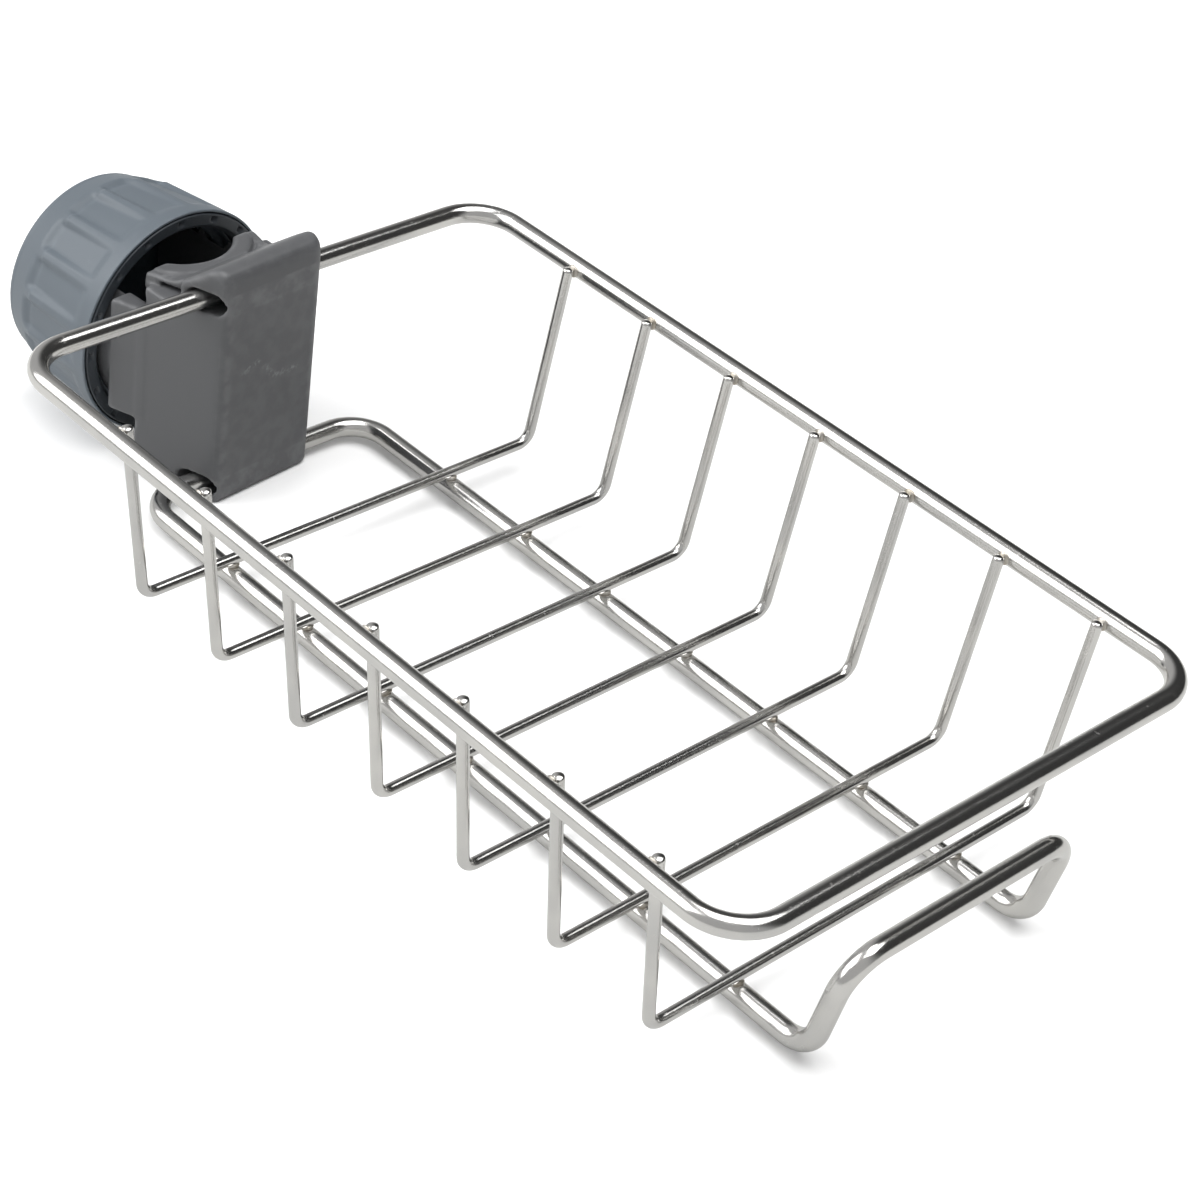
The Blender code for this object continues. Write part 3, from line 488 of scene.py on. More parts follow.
plan = flat_outline(
    [
        (FRONT, -FRONT_HALF),
        (FRONT, FRONT_HALF),
        (-BLOCK_DEPTH, BLOCK_HALF),
        (-BLOCK_DEPTH, JAW_HALF),
        (-JAW_DEPTH, JAW_HALF),
        (-JAW_DEPTH, -JAW_HALF),
        (-BLOCK_DEPTH, -JAW_HALF),
        (-BLOCK_DEPTH, -BLOCK_HALF),
    ],
    [PLATE_CORNER, PLATE_CORNER, SOFT, SOFT, JAW_CORNER, JAW_CORNER, SOFT, SOFT],
)
peak = JAW_TOP + HOOD_SLOPE * (FRONT - HOOD_START)
past_jaw = -JAW_DEPTH - 0.001
side_outline = flat_outline(
    [
        (FRONT, FOOT),
        (FRONT, peak),
        (HOOD_START, JAW_TOP),
        (past_jaw, JAW_TOP),
        (past_jaw, JAW_UNDER),
        (-UNDERCUT, JAW_UNDER),
        (-UNDERCUT, FOOT),
    ],
    [FOOT_CORNER, BROW, HOOD_BLEND, 0, 0, SOFT, SOFT],
)
edge_radius = EDGE_RADIUS + EDGE_GROWTH * np.clip((Z - SOFTER_FROM) / SOFTER_OVER, 0, 1)
block = both(outline_distance(X, Y, plan), outline_distance(X, Z, side_outline), edge_radius)
print("field cells, millions:", round(block.size / 1e6, 2))

# %% [markdown]
# ### Ledges, slit and shaved sides
# The top is cut down to a ledge on both sides of the jaw plate, round a nose at the jaw's waist, and
# a narrow slit runs in under the plate from the wire slot. Below, the block's flared sides are
# shaved off behind the slot.

# %% Ledge, slit and shave
OUTSIDE = 0.03
LEDGE_TOP = RIM_HEIGHT - 0.0032
WAIST_X, WAIST_HALF = -0.0088, 0.0130
NOSE_RADIUS = 0.0030
SLIT_X, SLIT_REACH = -0.0094, 0.0052
SLIT_RISE, SLIT_HALF, SLIT_INNER = 0.00035, 0.00045, 0.0108
SHAVED_HALF, SHAVED_FRONT, SHAVED_EDGE = 0.0176, -0.0080, 0.0007
CHEEK_TOP = RIM_HEIGHT - 0.0079

turn = np.linspace(0, math.pi / 2, 10)
nose = np.stack(
    [WAIST_X + NOSE_RADIUS * np.sin(turn), WAIST_HALF + NOSE_RADIUS * (1 - np.cos(turn))], axis=1
)
beside_jaw = [[-OUTSIDE, OUTSIDE], [-OUTSIDE, JAW_HALF], [-JAW_DEPTH, JAW_HALF]]
ledge_outline = np.concatenate([beside_jaw, nose, [[nose[-1, 0], OUTSIDE]]])
ledge = both(outline_distance(X, np.abs(Y), ledge_outline), LEDGE_TOP - Z, TIGHT)
block = without(block, ledge, MILD)

slit = both(np.abs(Z - LEDGE_TOP - SLIT_RISE) - SLIT_HALF, SLIT_INNER - np.abs(Y), CRISP)
slit = both(slit, np.abs(X - SLIT_X) - SLIT_REACH, CRISP)
block = without(block, slit, CRISP)

shaved = both(SHAVED_HALF - np.abs(Y), CHEEK_TOP - Z, TIGHT)
shaved = both(shaved, X - SHAVED_FRONT, TIGHT)
block = without(block, shaved, SHAVED_EDGE)
print("deepest inside the block, mm:", round(float(block.min() * -1000), 2))

# %% [markdown]
# ### Land, cheeks and seat
# A level land with a crescent outline borders the seat on top of the jaw, and beside the seat a
# small crescent mark is pressed into the hood. Two cheeks flare out behind the block and carry the
# arms. The seat itself is a cylinder as wide as the pipe, cut upright through everything.

# %% Land, cheeks and seat fields
SEAT_RADIUS, SEAT_EDGE = 0.0120, 0.0005
SEAT_MIDDLE = -0.0135 - SEAT_RADIUS
LAND_RADIUS, LAND_HALF, LAND_CORNER = 0.0162, 0.0134, 0.0012
LAND_SUNK, LAND_HALF_THICK = 0.0015, 0.0019
LAND_BACK = -JAW_DEPTH + 0.0004
MARK_RADIUS, MARK_THICK, MARK_EDGE = 0.0168, 0.0006, 0.0003
MARK_Y, MARK_REACH, MARK_LIFT = 0.0098, 0.0028, 0.0001
CHEEK_FOOT = AXIS_Z - 0.0132
CHEEK_X, CHEEK_REACH = -0.0177, 0.0047
ARM_INNER = 0.0160

from_pipe = np.hypot(X - SEAT_MIDDLE, Y)
crescent = both(from_pipe - LAND_RADIUS, np.abs(Y) - LAND_HALF, LAND_CORNER)
land = both(crescent, np.abs(Z - JAW_TOP + LAND_SUNK) - LAND_HALF_THICK, TIGHT)
land = both(land, LAND_BACK - X, TIGHT)
body_field = either(block, land, CRISP)

hood_rise = JAW_TOP + np.maximum(X - HOOD_START, 0) * HOOD_SLOPE
pressed = np.hypot(from_pipe - MARK_RADIUS, Z - hood_rise - MARK_LIFT) - MARK_THICK
pressed = both(pressed, np.abs(Y - MARK_Y) - MARK_REACH, MARK_EDGE)
body_field = without(body_field, pressed, CRISP)

cheek_half = FRONT_HALF + FLARE * (FRONT - X)
cheek = both(np.abs(Y) - cheek_half, np.abs(X - CHEEK_X) - CHEEK_REACH, SOFT)
cheek = both(cheek, np.abs(Z - (CHEEK_TOP + CHEEK_FOOT) / 2) - (CHEEK_TOP - CHEEK_FOOT) / 2, SOFT)
cheek = both(cheek, ARM_INNER - np.abs(Y), MILD)
body_field = either(body_field, cheek, MILD)
body_field = without(body_field, from_pipe - SEAT_RADIUS, SEAT_EDGE)
print("seat radius, mm:", SEAT_RADIUS * 1000)

# %% [markdown]
# ### Threaded arms
# A right-handed thread is a ridge whose height along the axis grows by one pitch a turn. In the
# screw's frame a point at angle a and height h is on the ridge where h / pitch - a / (2 pi) is a
# whole number, and the distance from there gives the ridge's trapezium. The ridge makes the field
# steeper than a true distance, so it is scaled back.

# %% Arm fields
PITCH = 0.0050
RIDGE_HALF, RIDGE_SLOPE = 0.0012, 0.0006
THREAD_ROOT, THREAD_RISE = 0.0200, 0.0015
THREAD_FROM, THREAD_SWELL = 0.0065, 0.0015
THREAD_TO, THREAD_SHRINK = 0.0232, 0.0012
COLLAR_TOP, COLLAR_SLOPE = 0.0035, 0.0015
ARM_ROOT, ARM_REACH, ARM_EDGE = 0.0032, 0.0250, 0.0010
FIELD_SCALE = 0.85
OVERLAP = 0.0002


def ridge(angle, height, shift):
    """A thread's share of its full height: 1 on the crest, 0 beyond the foot, sloping between."""
    turns = height / PITCH - angle / (2 * math.pi) + shift
    away = np.abs((turns + 0.5) % 1.0 - 0.5) * PITCH
    return np.clip((RIDGE_HALF - away) / RIDGE_SLOPE, 0, 1)


radius = np.hypot(Y, Z - AXIS_Z)
height = -X - MOUTH_DEPTH
angle = np.arctan2(Y, Z - AXIS_Z)
swell = np.clip((height - THREAD_FROM) / THREAD_SWELL, 0, 1)
shrink = np.clip((THREAD_TO - height) / THREAD_SHRINK, 0, 1)
tooth = ridge(angle, height, 0.0) * swell * shrink
collar = THREAD_RISE * np.clip((COLLAR_TOP - height) / COLLAR_SLOPE, 0, 1)
threaded = (radius - THREAD_ROOT - np.maximum(THREAD_RISE * tooth, collar)) * FIELD_SCALE
arm_middle, arm_half = (ARM_REACH - ARM_ROOT) / 2, (ARM_REACH + ARM_ROOT) / 2
threaded = both(threaded, np.abs(height - arm_middle) - arm_half, ARM_EDGE)
arm = both(threaded, ARM_INNER + OVERLAP - np.abs(Y), MILD)
arm = both(arm, CHEEK_FOOT + OVERLAP - Z, MILD)
body_field = either(body_field, arm, TIGHT)
print("thread pitch, mm:", PITCH * 1000, "crest radius, mm:", round((THREAD_ROOT + THREAD_RISE) * 1000, 2))

# %% [markdown]
# ### Wire slots
# Two long round-ended slots run right through the block from side to side. The clamp hangs on the
# wires in them. The slots come last, so they also cut what was joined on.

# %% Slot fields
SLOT_HALF = 0.00255
SLOT_FRONT = 0.0047637
SLOT_BACK = -0.004568

slot_middle = (SLOT_FRONT + SLOT_BACK) / 2
slot_reach = (SLOT_FRONT - SLOT_BACK) / 2 - SLOT_HALF
for slot_height in (RIM_HEIGHT, LOWER_Z):
    past_straight = np.maximum(np.abs(X - slot_middle) - slot_reach, 0)
    body_field = without(body_field, np.hypot(past_straight, Z - slot_height) - SLOT_HALF, TIGHT)
print("deepest inside, mm:", round(float(body_field.min() * -1000), 2))


# %% [markdown]
# ### A net over the field
# The surface is found cell by cell. A cell whose eight corners aren't all on one side holds one
# point of the net, at the average of the places where the surface crosses the cell's edges. Each
# grid line that the surface crosses has four cells round it, and they make one quad. On a flat face
# the points lie exactly in the face, so the flats stay flat.


# %% Net over a field
def net_over(field, axes, step):
    """Points and quads of the surface field = 0, one point a cell and one quad a crossed line."""
    inside = field < 0
    n = np.array(field.shape) - 1
    total = np.zeros((*n, 3))
    count = np.zeros(n)
    for axis in range(3):
        for da in (0, 1):
            for db in (0, 1):
                offset = np.zeros(3, int)
                offset[[k for k in range(3) if k != axis]] = (da, db)
                one = tuple(slice(o, o + m) for o, m in zip(offset, n))
                step_on = offset.copy()
                step_on[axis] += 1
                two = tuple(slice(o, o + m) for o, m in zip(step_on, n))
                crossed = inside[one] != inside[two]
                share = np.where(crossed, field[one] / np.where(crossed, field[one] - field[two], 1), 0)
                for k in range(3):
                    total[..., k] += crossed * (share if k == axis else offset[k])
                count += crossed
    held = count > 0
    number = np.full(n, -1)
    number[held] = np.arange(held.sum())
    cells = np.argwhere(held)
    points = (cells + total[held] / count[held][:, None]) * step + np.array([a[0] for a in axes])
    quads = []
    for axis in range(3):
        b, c = (axis + 1) % 3, (axis + 2) % 3
        core = [slice(1, -1)] * 3
        core[axis] = slice(0, -1)
        ahead = list(core)
        ahead[axis] = slice(1, None)
        low_in, high_in = inside[tuple(core)], inside[tuple(ahead)]
        where = np.argwhere(low_in != high_in)
        goes_out = low_in[low_in != high_in]
        where[:, b] += 1
        where[:, c] += 1
        around = []
        for db, dc in ((-1, -1), (0, -1), (0, 0), (-1, 0)):
            cell = where.copy()
            cell[:, b] += db
            cell[:, c] += dc
            around.append(number[tuple(cell.T)])
        ring = np.stack(around, axis=1)
        quads.append(np.where(goes_out[:, None], ring, ring[:, ::-1]))
    return points, np.concatenate(quads), cells


points, quads, cells = net_over(body_field, (gx, gy, gz), STEP)
print("clamp body quads:", len(quads))

# %% [markdown]
# ### Marks on the body
# Two marks go with the mesh, for its material. The edge mark is the field's Laplacian, the sum of its
# six neighbours less six times itself, over the step squared: it is large where the surface bends
# outwards, and there the material paints a highlight along the edges. The scuffed mark is three short
# strokes on the front plate, each given by the Y and Z of its two ends.

# %% Body marks
EDGE_GAIN = 0.0008
SCRATCH_WIDTH = 0.0007
SCRATCHES = (
    ((-0.0075, 0.0250), (-0.0035, 0.0262)),
    ((-0.0015, 0.0238), (0.0010, 0.0212)),
    ((0.0022, 0.0208), (0.0078, 0.0206)),
)

neighbours = [np.roll(body_field, s, axis=k) for k in range(3) for s in (-1, 1)]
bend = (sum(neighbours) - 6 * body_field) / STEP**2
# Painted highlight: the edge mark makes outward bends lighter in the material.
edge = np.clip(bend[tuple(cells.T)] * EDGE_GAIN, 0, 1)
on_plate = points[:, 0] > FRONT - TIGHT
scuffed = np.zeros(len(points))
for start, end in SCRATCHES:
    run = np.array(end) - np.array(start)
    t = np.clip((points[:, 1:] - start) @ run / (run @ run), 0, 1)
    off = np.linalg.norm(points[:, 1:] - start - t[:, None] * run, axis=1)
    scuffed += np.exp(-((off / SCRATCH_WIDTH) ** 2)) * on_plate
body_mesh = mesh_of("clamp_body", from_clamp(points), quads, edge=edge, scuffed=np.clip(scuffed, 0, 1))
body_mesh.shade_smooth()
clamp_body = add_piece("clamp_body", body_mesh, "clamp", "clamp_plastic", "clamp_base")
print("edge mark, mean:", round(float(edge.mean()), 3), "scuffed points:", int((scuffed > 0.5).sum()))

# %% [markdown]
# ## The screw cap
# The cap is turned from a profile: back disc, rounded corner, a plain cone, the shoulder, the grip that
# widens to the mouth, a thin lip round the recess that the ring's flange lies in, then inside past
# the snap groove and along the threaded bore to the floor. A profile is a list of radius and height.

# %% Cap profile
MOUTH_RADIUS = 0.0267
GRIP_LENGTH = 0.0205
GRIP_TAPER = 0.0014
GRIP_BACK = MOUTH_RADIUS - GRIP_TAPER
NECK = GRIP_BACK - 0.00045
CAP_LENGTH = 0.0310
CAP_BORE = 0.0220
DISC_RADIUS = MOUTH_RADIUS - 0.0040
DISC_SAG = 0.0002
BACK_CORNER = 0.0022
LIP_ROUND = 0.0003
RECESS = 0.0261
RECESS_ROUND = 0.00015
MOUTH_BORE = 0.0252
GROOVE = 0.0257
CAP_FLOOR = CAP_LENGTH - 0.0026
FINE_SPACING = 0.0003


def stretch(points, spacing):
    """A profile with more points, at most the given spacing apart."""
    points = np.array(points, dtype=float)
    gaps = np.linalg.norm(np.diff(points, axis=0), axis=1)
    counts = np.maximum(1, np.ceil(gaps / spacing).astype(int))
    parts = [a + (b - a) * np.arange(n)[:, None] / n for a, b, n in zip(points[:-1], points[1:], counts)]
    return np.concatenate(parts + [points[-1:]])


def profile_arc(centre, radius, start, end, count):
    """Points on an arc of a profile, with angles in degrees."""
    t = np.radians(np.linspace(start, end, count))
    return np.stack([centre[0] + radius * np.cos(t), centre[1] + radius * np.sin(t)], axis=1)


disc_edge = DISC_RADIUS - BACK_CORNER
back = np.concatenate(
    [
        stretch([(0.0, CAP_LENGTH), (disc_edge, CAP_LENGTH - DISC_SAG)], 0.0015),
        profile_arc((disc_edge, CAP_LENGTH - DISC_SAG - BACK_CORNER), BACK_CORNER, 84, 8, 10),
    ]
)
shoulder = [
    (DISC_RADIUS, CAP_LENGTH - 0.0024),
    (NECK + 0.0001, GRIP_LENGTH + 0.0007),
    (NECK + 0.00025, GRIP_LENGTH + 0.00035),
    (GRIP_BACK - 0.0001, GRIP_LENGTH + 0.0001),
    (GRIP_BACK, GRIP_LENGTH - 0.0002),
    (MOUTH_RADIUS, 0.0004),
]
grip = stretch(shoulder, FINE_SPACING)
lip = profile_arc((MOUTH_RADIUS - LIP_ROUND, LIP_ROUND), LIP_ROUND, -10, -90, 5)
bore = np.concatenate(
    [
        profile_arc((RECESS + RECESS_ROUND, RECESS_ROUND), RECESS_ROUND, -90, -180, 4),
        [(RECESS, 0.0011), (RECESS - 0.0001, 0.0012), (MOUTH_BORE + 0.0001, 0.0012), (MOUTH_BORE, 0.0013)],
        [(MOUTH_BORE, 0.0016), (GROOVE, 0.0017), (GROOVE, 0.0030), (MOUTH_BORE, 0.0031)],
        [(MOUTH_BORE, 0.0041), (MOUTH_BORE, 0.0042), (CAP_BORE + 0.0002, 0.0042), (CAP_BORE, 0.0044)],
        stretch([(CAP_BORE, 0.0046), (CAP_BORE, CAP_FLOOR - 0.0003)], FINE_SPACING),
        [(CAP_BORE - 0.0003, CAP_FLOOR), (0.012, CAP_FLOOR), (0.0, CAP_FLOOR)],
    ]
)
cap_rows = np.concatenate([back, grip, lip, bore])
is_grip = np.zeros(len(cap_rows))
is_grip[len(back) : len(back) + len(grip)] = 1
past_lip = np.arange(len(cap_rows)) > len(back) + len(grip) + len(lip)
is_bore = past_lip & (np.abs(cap_rows[:, 0] - CAP_BORE) < 1e-6)
print("cap rows:", len(cap_rows))

# %% [markdown]
# ### Flutes and thread
# Sixteen wide shallow flutes run along the grip and over its shoulder, with a rib left between each
# two. A flute's floor is the grip's surface sunk by a constant depth, its flanks slope up to the ribs,
# and its ends fade out over 3 mm. The thread stands out of the bore. All of these are only changes of
# radius with angle and height, so the whole cap stays one grid, with its columns closer together
# at the flanks.

# %% Cap surface
FLUTES = 16
FLUTE_TURN = math.radians(0.8)
FLUTE_DEPTH = 0.00045
FLUTE_START, FLUTE_END = 0.0034, 0.0237
FLUTE_FADE = 0.0026
FLANK_FOOT, FLANK_TOP = 5.6, 10.2
CONE_SHARE = 0.36

half_turn = math.pi / FLUTES
half_columns = np.array([0.0, 2.5, 5.0, 6.4, 7.0, 7.5, 8.1, 8.7, 9.3, 9.7, 10.1, 10.6])
one_flute = np.concatenate([-half_columns[:0:-1], half_columns, [180 / FLUTES]])
theta = np.radians(np.arange(FLUTES)[:, None] * 360 / FLUTES + one_flute).reshape(1, -1) + FLUTE_TURN
row_radius = cap_rows[:, :1]
row_height = cap_rows[:, 1:]


def rise(value, low, high):
    """0 below low, 1 above high and a smooth S between: s = t * t * (3 - 2 t)."""
    t = np.clip((value - low) / (high - low), 0, 1)
    return t * t * (3 - 2 * t)


away = np.abs(np.degrees((theta - FLUTE_TURN + half_turn) % (2 * half_turn) - half_turn))
along = (row_height - FLUTE_START) / (FLUTE_END - FLUTE_START)
start_radius = MOUTH_RADIUS - GRIP_TAPER * FLUTE_START / GRIP_LENGTH
end_radius = NECK - (NECK - DISC_RADIUS) * CONE_SHARE
flute_floor = start_radius + (end_radius - start_radius) * along - FLUTE_DEPTH
flank = rise(away, FLANK_FOOT, FLANK_TOP)
near_end = rise(row_height, FLUTE_START - 0.0004, FLUTE_START + FLUTE_FADE)
far_end = 1 - rise(row_height, FLUTE_END - FLUTE_FADE, FLUTE_END + 0.0002)
ends = near_end * far_end
depth = np.clip(row_radius - flute_floor, 0, None) * (1 - flank) * ends * is_grip[:, None]

thread_in = rise(row_height, 0.0050, 0.0072)
thread_out = 1 - rise(row_height, CAP_FLOOR - 0.0042, CAP_FLOOR - 0.0022)
faded = thread_in * thread_out
surface_radius = row_radius - depth - is_bore[:, None] * THREAD_RISE * ridge(theta, row_height, 0.5) * faded

cap_grid = np.stack(
    [surface_radius * np.cos(theta), surface_radius * np.sin(theta), row_height + 0 * theta], axis=-1
)
print("flutes:", FLUTES, "deepest, at the shoulder, mm:", round(float(depth.max()) * 1000, 2))

# %% Cap as a piece
# Painted highlights: the mouth's edge, a band along the shoulder and the flanks next to each rib are marked
# to be painted lighter, as the edge mark.
mouth_highlight = np.exp(-((row_height / 0.0006) ** 2))
shoulder_highlight = 0.7 * np.exp(-(((row_height - GRIP_LENGTH) / 0.0005) ** 2))
rib_highlight = 0.3 * rise(away, 8.6, FLANK_TOP) * ends
cap_highlight = np.clip(mouth_highlight + shoulder_highlight + rib_highlight, 0, 1) * (row_radius > 0.0235)
cap_mesh = skin("screw_cap_shell", from_screw(cap_grid), False, True, edge=cap_highlight)
cap_shell = add_piece("screw_cap_shell", cap_mesh, "cap", "cap_plastic", "screw_cap")
print("cap quads:", len(cap_mesh.polygons))

# %% [markdown]
# ## The pressure ring
# The ring in the cap's mouth is what presses on the pipe. It is the cap's plastic, and its darker grey
# is painted shade. It is turned too: a flange that lies in the mouth's recess, a snap bead behind it, a
# chamfer towards the pipe, and short notches in its end face that leave it springy.

# %% Ring
RING_IN = 0.0223
RING_NECK = 0.0249
RING_BEAD = RING_NECK + 0.0005
RING_ROUND = 0.0003
FLANGE = 0.0258
FLANGE_ROUND = 0.0002
RING_TOP = 0.0039
CHAMFER = 0.0009
NOTCHES, NOTCH_DEPTH = 16, 0.0007
NOTCH_COLUMNS = 24

ring_rows = np.concatenate(
    [
        profile_arc((RING_IN + RING_ROUND, RING_TOP - RING_ROUND), RING_ROUND, 180, 90, 4),
        profile_arc((RING_NECK - RING_ROUND, RING_TOP - RING_ROUND), RING_ROUND, 90, 0, 4),
        [(RING_NECK, 0.0029), (RING_BEAD, 0.0027), (RING_BEAD, 0.0020), (RING_NECK, 0.0018)],
        [(RING_NECK, 0.0010), (RING_NECK + 0.0001, 0.0009), (FLANGE - 0.0001, 0.0009), (FLANGE, 0.0008)],
        profile_arc((FLANGE - FLANGE_ROUND, -0.0001), FLANGE_ROUND, 0, -90, 4),
        stretch([(FLANGE - 0.0003, -0.0003), (RING_IN + CHAMFER + 0.0001, -0.0003)], 0.0002),
        stretch([(RING_IN + CHAMFER, -0.00028), (RING_IN, 0.0006)], 0.0002),
    ]
)
ring_radius = ring_rows[:, :1]
ring_height = ring_rows[:, 1:]
ring_theta = np.linspace(0, 2 * math.pi, NOTCH_COLUMNS * NOTCHES, endpoint=False)[None, :]
from_notch = np.abs((ring_theta * NOTCHES / (2 * math.pi) + 0.5) % 1.0 - 0.5)
notch = 1 - rise(from_notch * 2 * math.pi / NOTCHES * RING_IN, 0.0005, 0.0008)
notch_reach = rise(ring_radius, 0.0239, 0.0240) * (1 - rise(ring_radius, 0.0251, 0.0252))
on_face = notch_reach * (ring_height < 0.0)
ring_grid = np.stack(
    [
        ring_radius * np.cos(ring_theta),
        ring_radius * np.sin(ring_theta),
        ring_height + NOTCH_DEPTH * notch * on_face,
    ],
    axis=-1,
)
# Painted highlight: the inner lip and chamfer towards the pipe are marked to be painted lighter.
ring_highlight = rise(0.0235 - ring_radius, 0.0, 0.0003) * (ring_height < 0.001) + 0 * ring_theta
ring_mesh = skin("pressure_ring_lip", from_screw(ring_grid), True, True, edge=ring_highlight)
ring_piece = add_piece("pressure_ring_lip", ring_mesh, "ring", "ring_plastic", "pressure_ring")
print("ring quads:", len(ring_mesh.polygons))

# %% [markdown]
# ## Materials as expressions
# A material is a graph of nodes, which reads badly when it is written one node and link at a time.
# The small class below wraps one output. Its operators add Math nodes, so 1 - mask * 0.5 reads as it
# does on paper. Every other node comes from one method of the recipe.


# %% Shader helpers
class Flow:
    """What flows out of one node. Operators on values add Math nodes."""

    def __init__(self, recipe, socket):
        self.recipe = recipe
        self.socket = socket

    def math(self, operation, *values):
        """A Math node with this value first."""
        return self.recipe.node("ShaderNodeMath", {"operation": operation}, dict(enumerate((self, *values))))

    def __add__(self, other):
        return self.math("ADD", other)

    __radd__ = __add__

    def __mul__(self, other):
        return self.math("MULTIPLY", other)

    __rmul__ = __mul__

    def __sub__(self, other):
        return self.math("SUBTRACT", other)

    def __rsub__(self, other):
        return self.recipe.node("ShaderNodeMath", {"operation": "SUBTRACT"}, {0: other, 1: self})

    def ramp(self, low, high, to_low=0.0, to_high=1.0):
        """A smooth step of this value between two bounds."""
        sockets = {"Value": self, "From Min": low, "From Max": high, "To Min": to_low, "To Max": to_high}
        return self.recipe.node("ShaderNodeMapRange", {"interpolation_type": "SMOOTHSTEP"}, sockets)


class Recipe:
    """A material under construction. holder is a world that gets the nodes instead."""

    def __init__(self, name, holder=None):
        self.holder = holder or bpy.data.materials.new(name)
        self.holder.use_nodes = True
        self.tree = self.holder.node_tree
        self.tree.nodes.clear()

    def node(self, kind, settings=None, sockets=None, output=0):
        """Any node: its settings first, then its sockets' values or links."""
        made = self.tree.nodes.new(kind)
        for key, value in (settings or {}).items():
            setattr(made, key, value)
        for key, value in (sockets or {}).items():
            if isinstance(value, Flow):
                self.tree.links.new(value.socket, made.inputs[key])
            else:
                made.inputs[key].default_value = value
        return Flow(self, made.outputs[output]) if len(made.outputs) else None

    def place(self):
        """Where a point is on its own object."""
        return self.node("ShaderNodeTexCoord", output="Object")

    def blend(self, share, first, second):
        """A colour between two colours. A Mix node's colours are its inputs 6 and 7 and its output 2."""
        return self.node("ShaderNodeMix", {"data_type": "RGBA"}, {0: share, 6: first, 7: second}, output=2)

    def mapped(self, place, scale, turn=(0.0, 0.0, 0.0)):
        """Coordinates stretched and turned for a pattern."""
        return self.node("ShaderNodeMapping", None, {"Vector": place, "Scale": scale, "Rotation": turn})

    def noise(self, place, scale, detail=2.0, roughness=0.5):
        """Noise between 0 and 1."""
        sockets = {"Vector": place, "Scale": scale, "Detail": detail, "Roughness": roughness}
        return self.node("ShaderNodeTexNoise", None, sockets)

    def mark(self, name):
        """A mark that was stored on the mesh, 0 where the mesh has none."""
        return self.node("ShaderNodeAttribute", {"attribute_name": name}, output="Fac")

    def bump(self, height, strength, distance):
        """A normal tilted by a height that varies over the surface."""
        sockets = {"Strength": strength, "Distance": distance, "Height": height}
        return self.node("ShaderNodeBump", None, sockets)

    def finish(self, **sockets):
        """The Principled shader with its sockets, and the output."""
        sockets = {key.replace("_", " "): value for key, value in sockets.items()}
        shader = self.node("ShaderNodeBsdfPrincipled", None, sockets)
        self.node("ShaderNodeOutputMaterial", None, {"Surface": shader})
        return self.holder


def srgb(*levels):
    """A display colour, 0 to 255, as linear light."""
    share = np.array(levels) / 255.0
    linear = np.where(share <= 0.04045, share / 12.92, ((share + 0.055) / 1.055) ** 2.4)
    return (*[float(v) for v in linear], 1.0)


# %% [markdown]
# ### Polished steel wire
# Drawn and polished wire is bright, with very fine lines along it from the die. The lines follow the
# wire, so they are read from its UV map: length one way, angle the other. Handling leaves faint
# cloudy patches, and the welds leave a dull straw tint.

# %% Steel
BRIGHT_STEEL = (0.62, 0.61, 0.59, 1.0)
HANDLED_STEEL = (0.54, 0.535, 0.525, 1.0)
STRAW_TINT = (0.46, 0.41, 0.34, 1.0)
BEAD_LIGHT = (0.55, 0.53, 0.50, 1.0)
BEAD_DARK = (0.42, 0.38, 0.32, 1.0)


def polished_wire(name):
    """Bright drawn steel, for pieces with the run UV map and the heat mark."""
    r = Recipe(name)
    run = r.node("ShaderNodeUVMap", {"uv_map": "run"})
    place = r.place()
    lines = r.noise(r.mapped(run, (35.0, 26.0, 1.0)), 9.0, 3.0, 0.6)
    clouds = r.noise(place, 55.0, 3.0, 0.55)
    specks = r.noise(place, 900.0, 1.0).ramp(0.66, 0.74)
    heat = r.mark("heat") * r.noise(place, 420.0, 2.0).ramp(0.25, 0.75, 0.55, 1.0)
    base = r.blend(clouds.ramp(0.35, 0.7), BRIGHT_STEEL, HANDLED_STEEL)
    base = r.blend(heat * 0.55, base, STRAW_TINT)
    rough = 0.10 + clouds * 0.08 + lines * 0.05 + specks * 0.10 + heat * 0.18
    bump = r.bump(lines + heat * 0.5, 0.06, 0.0002)
    return r.finish(Base_Color=base, Metallic=1.0, Roughness=rough, Normal=bump)


def weld_bead(name):
    """The weld's own metal: duller, slightly lumpy, with a straw and grey tint."""
    r = Recipe(name)
    place = r.place()
    lumps = r.noise(place, 1100.0, 3.0, 0.6)
    tint = r.noise(place, 300.0, 2.0)
    base = r.blend(tint.ramp(0.35, 0.65), BEAD_LIGHT, BEAD_DARK)
    bump = r.bump(lumps, 0.35, 0.0003)
    return r.finish(Base_Color=base, Metallic=1.0, Roughness=lumps * 0.2 + 0.28, Normal=bump)


steel = polished_wire("polished_steel_wire")
for wire in wires:
    wire.data.materials.append(steel)
spot_welds.data.materials.append(weld_bead("weld_metal"))
print("steel nodes:", len(steel.node_tree.nodes))
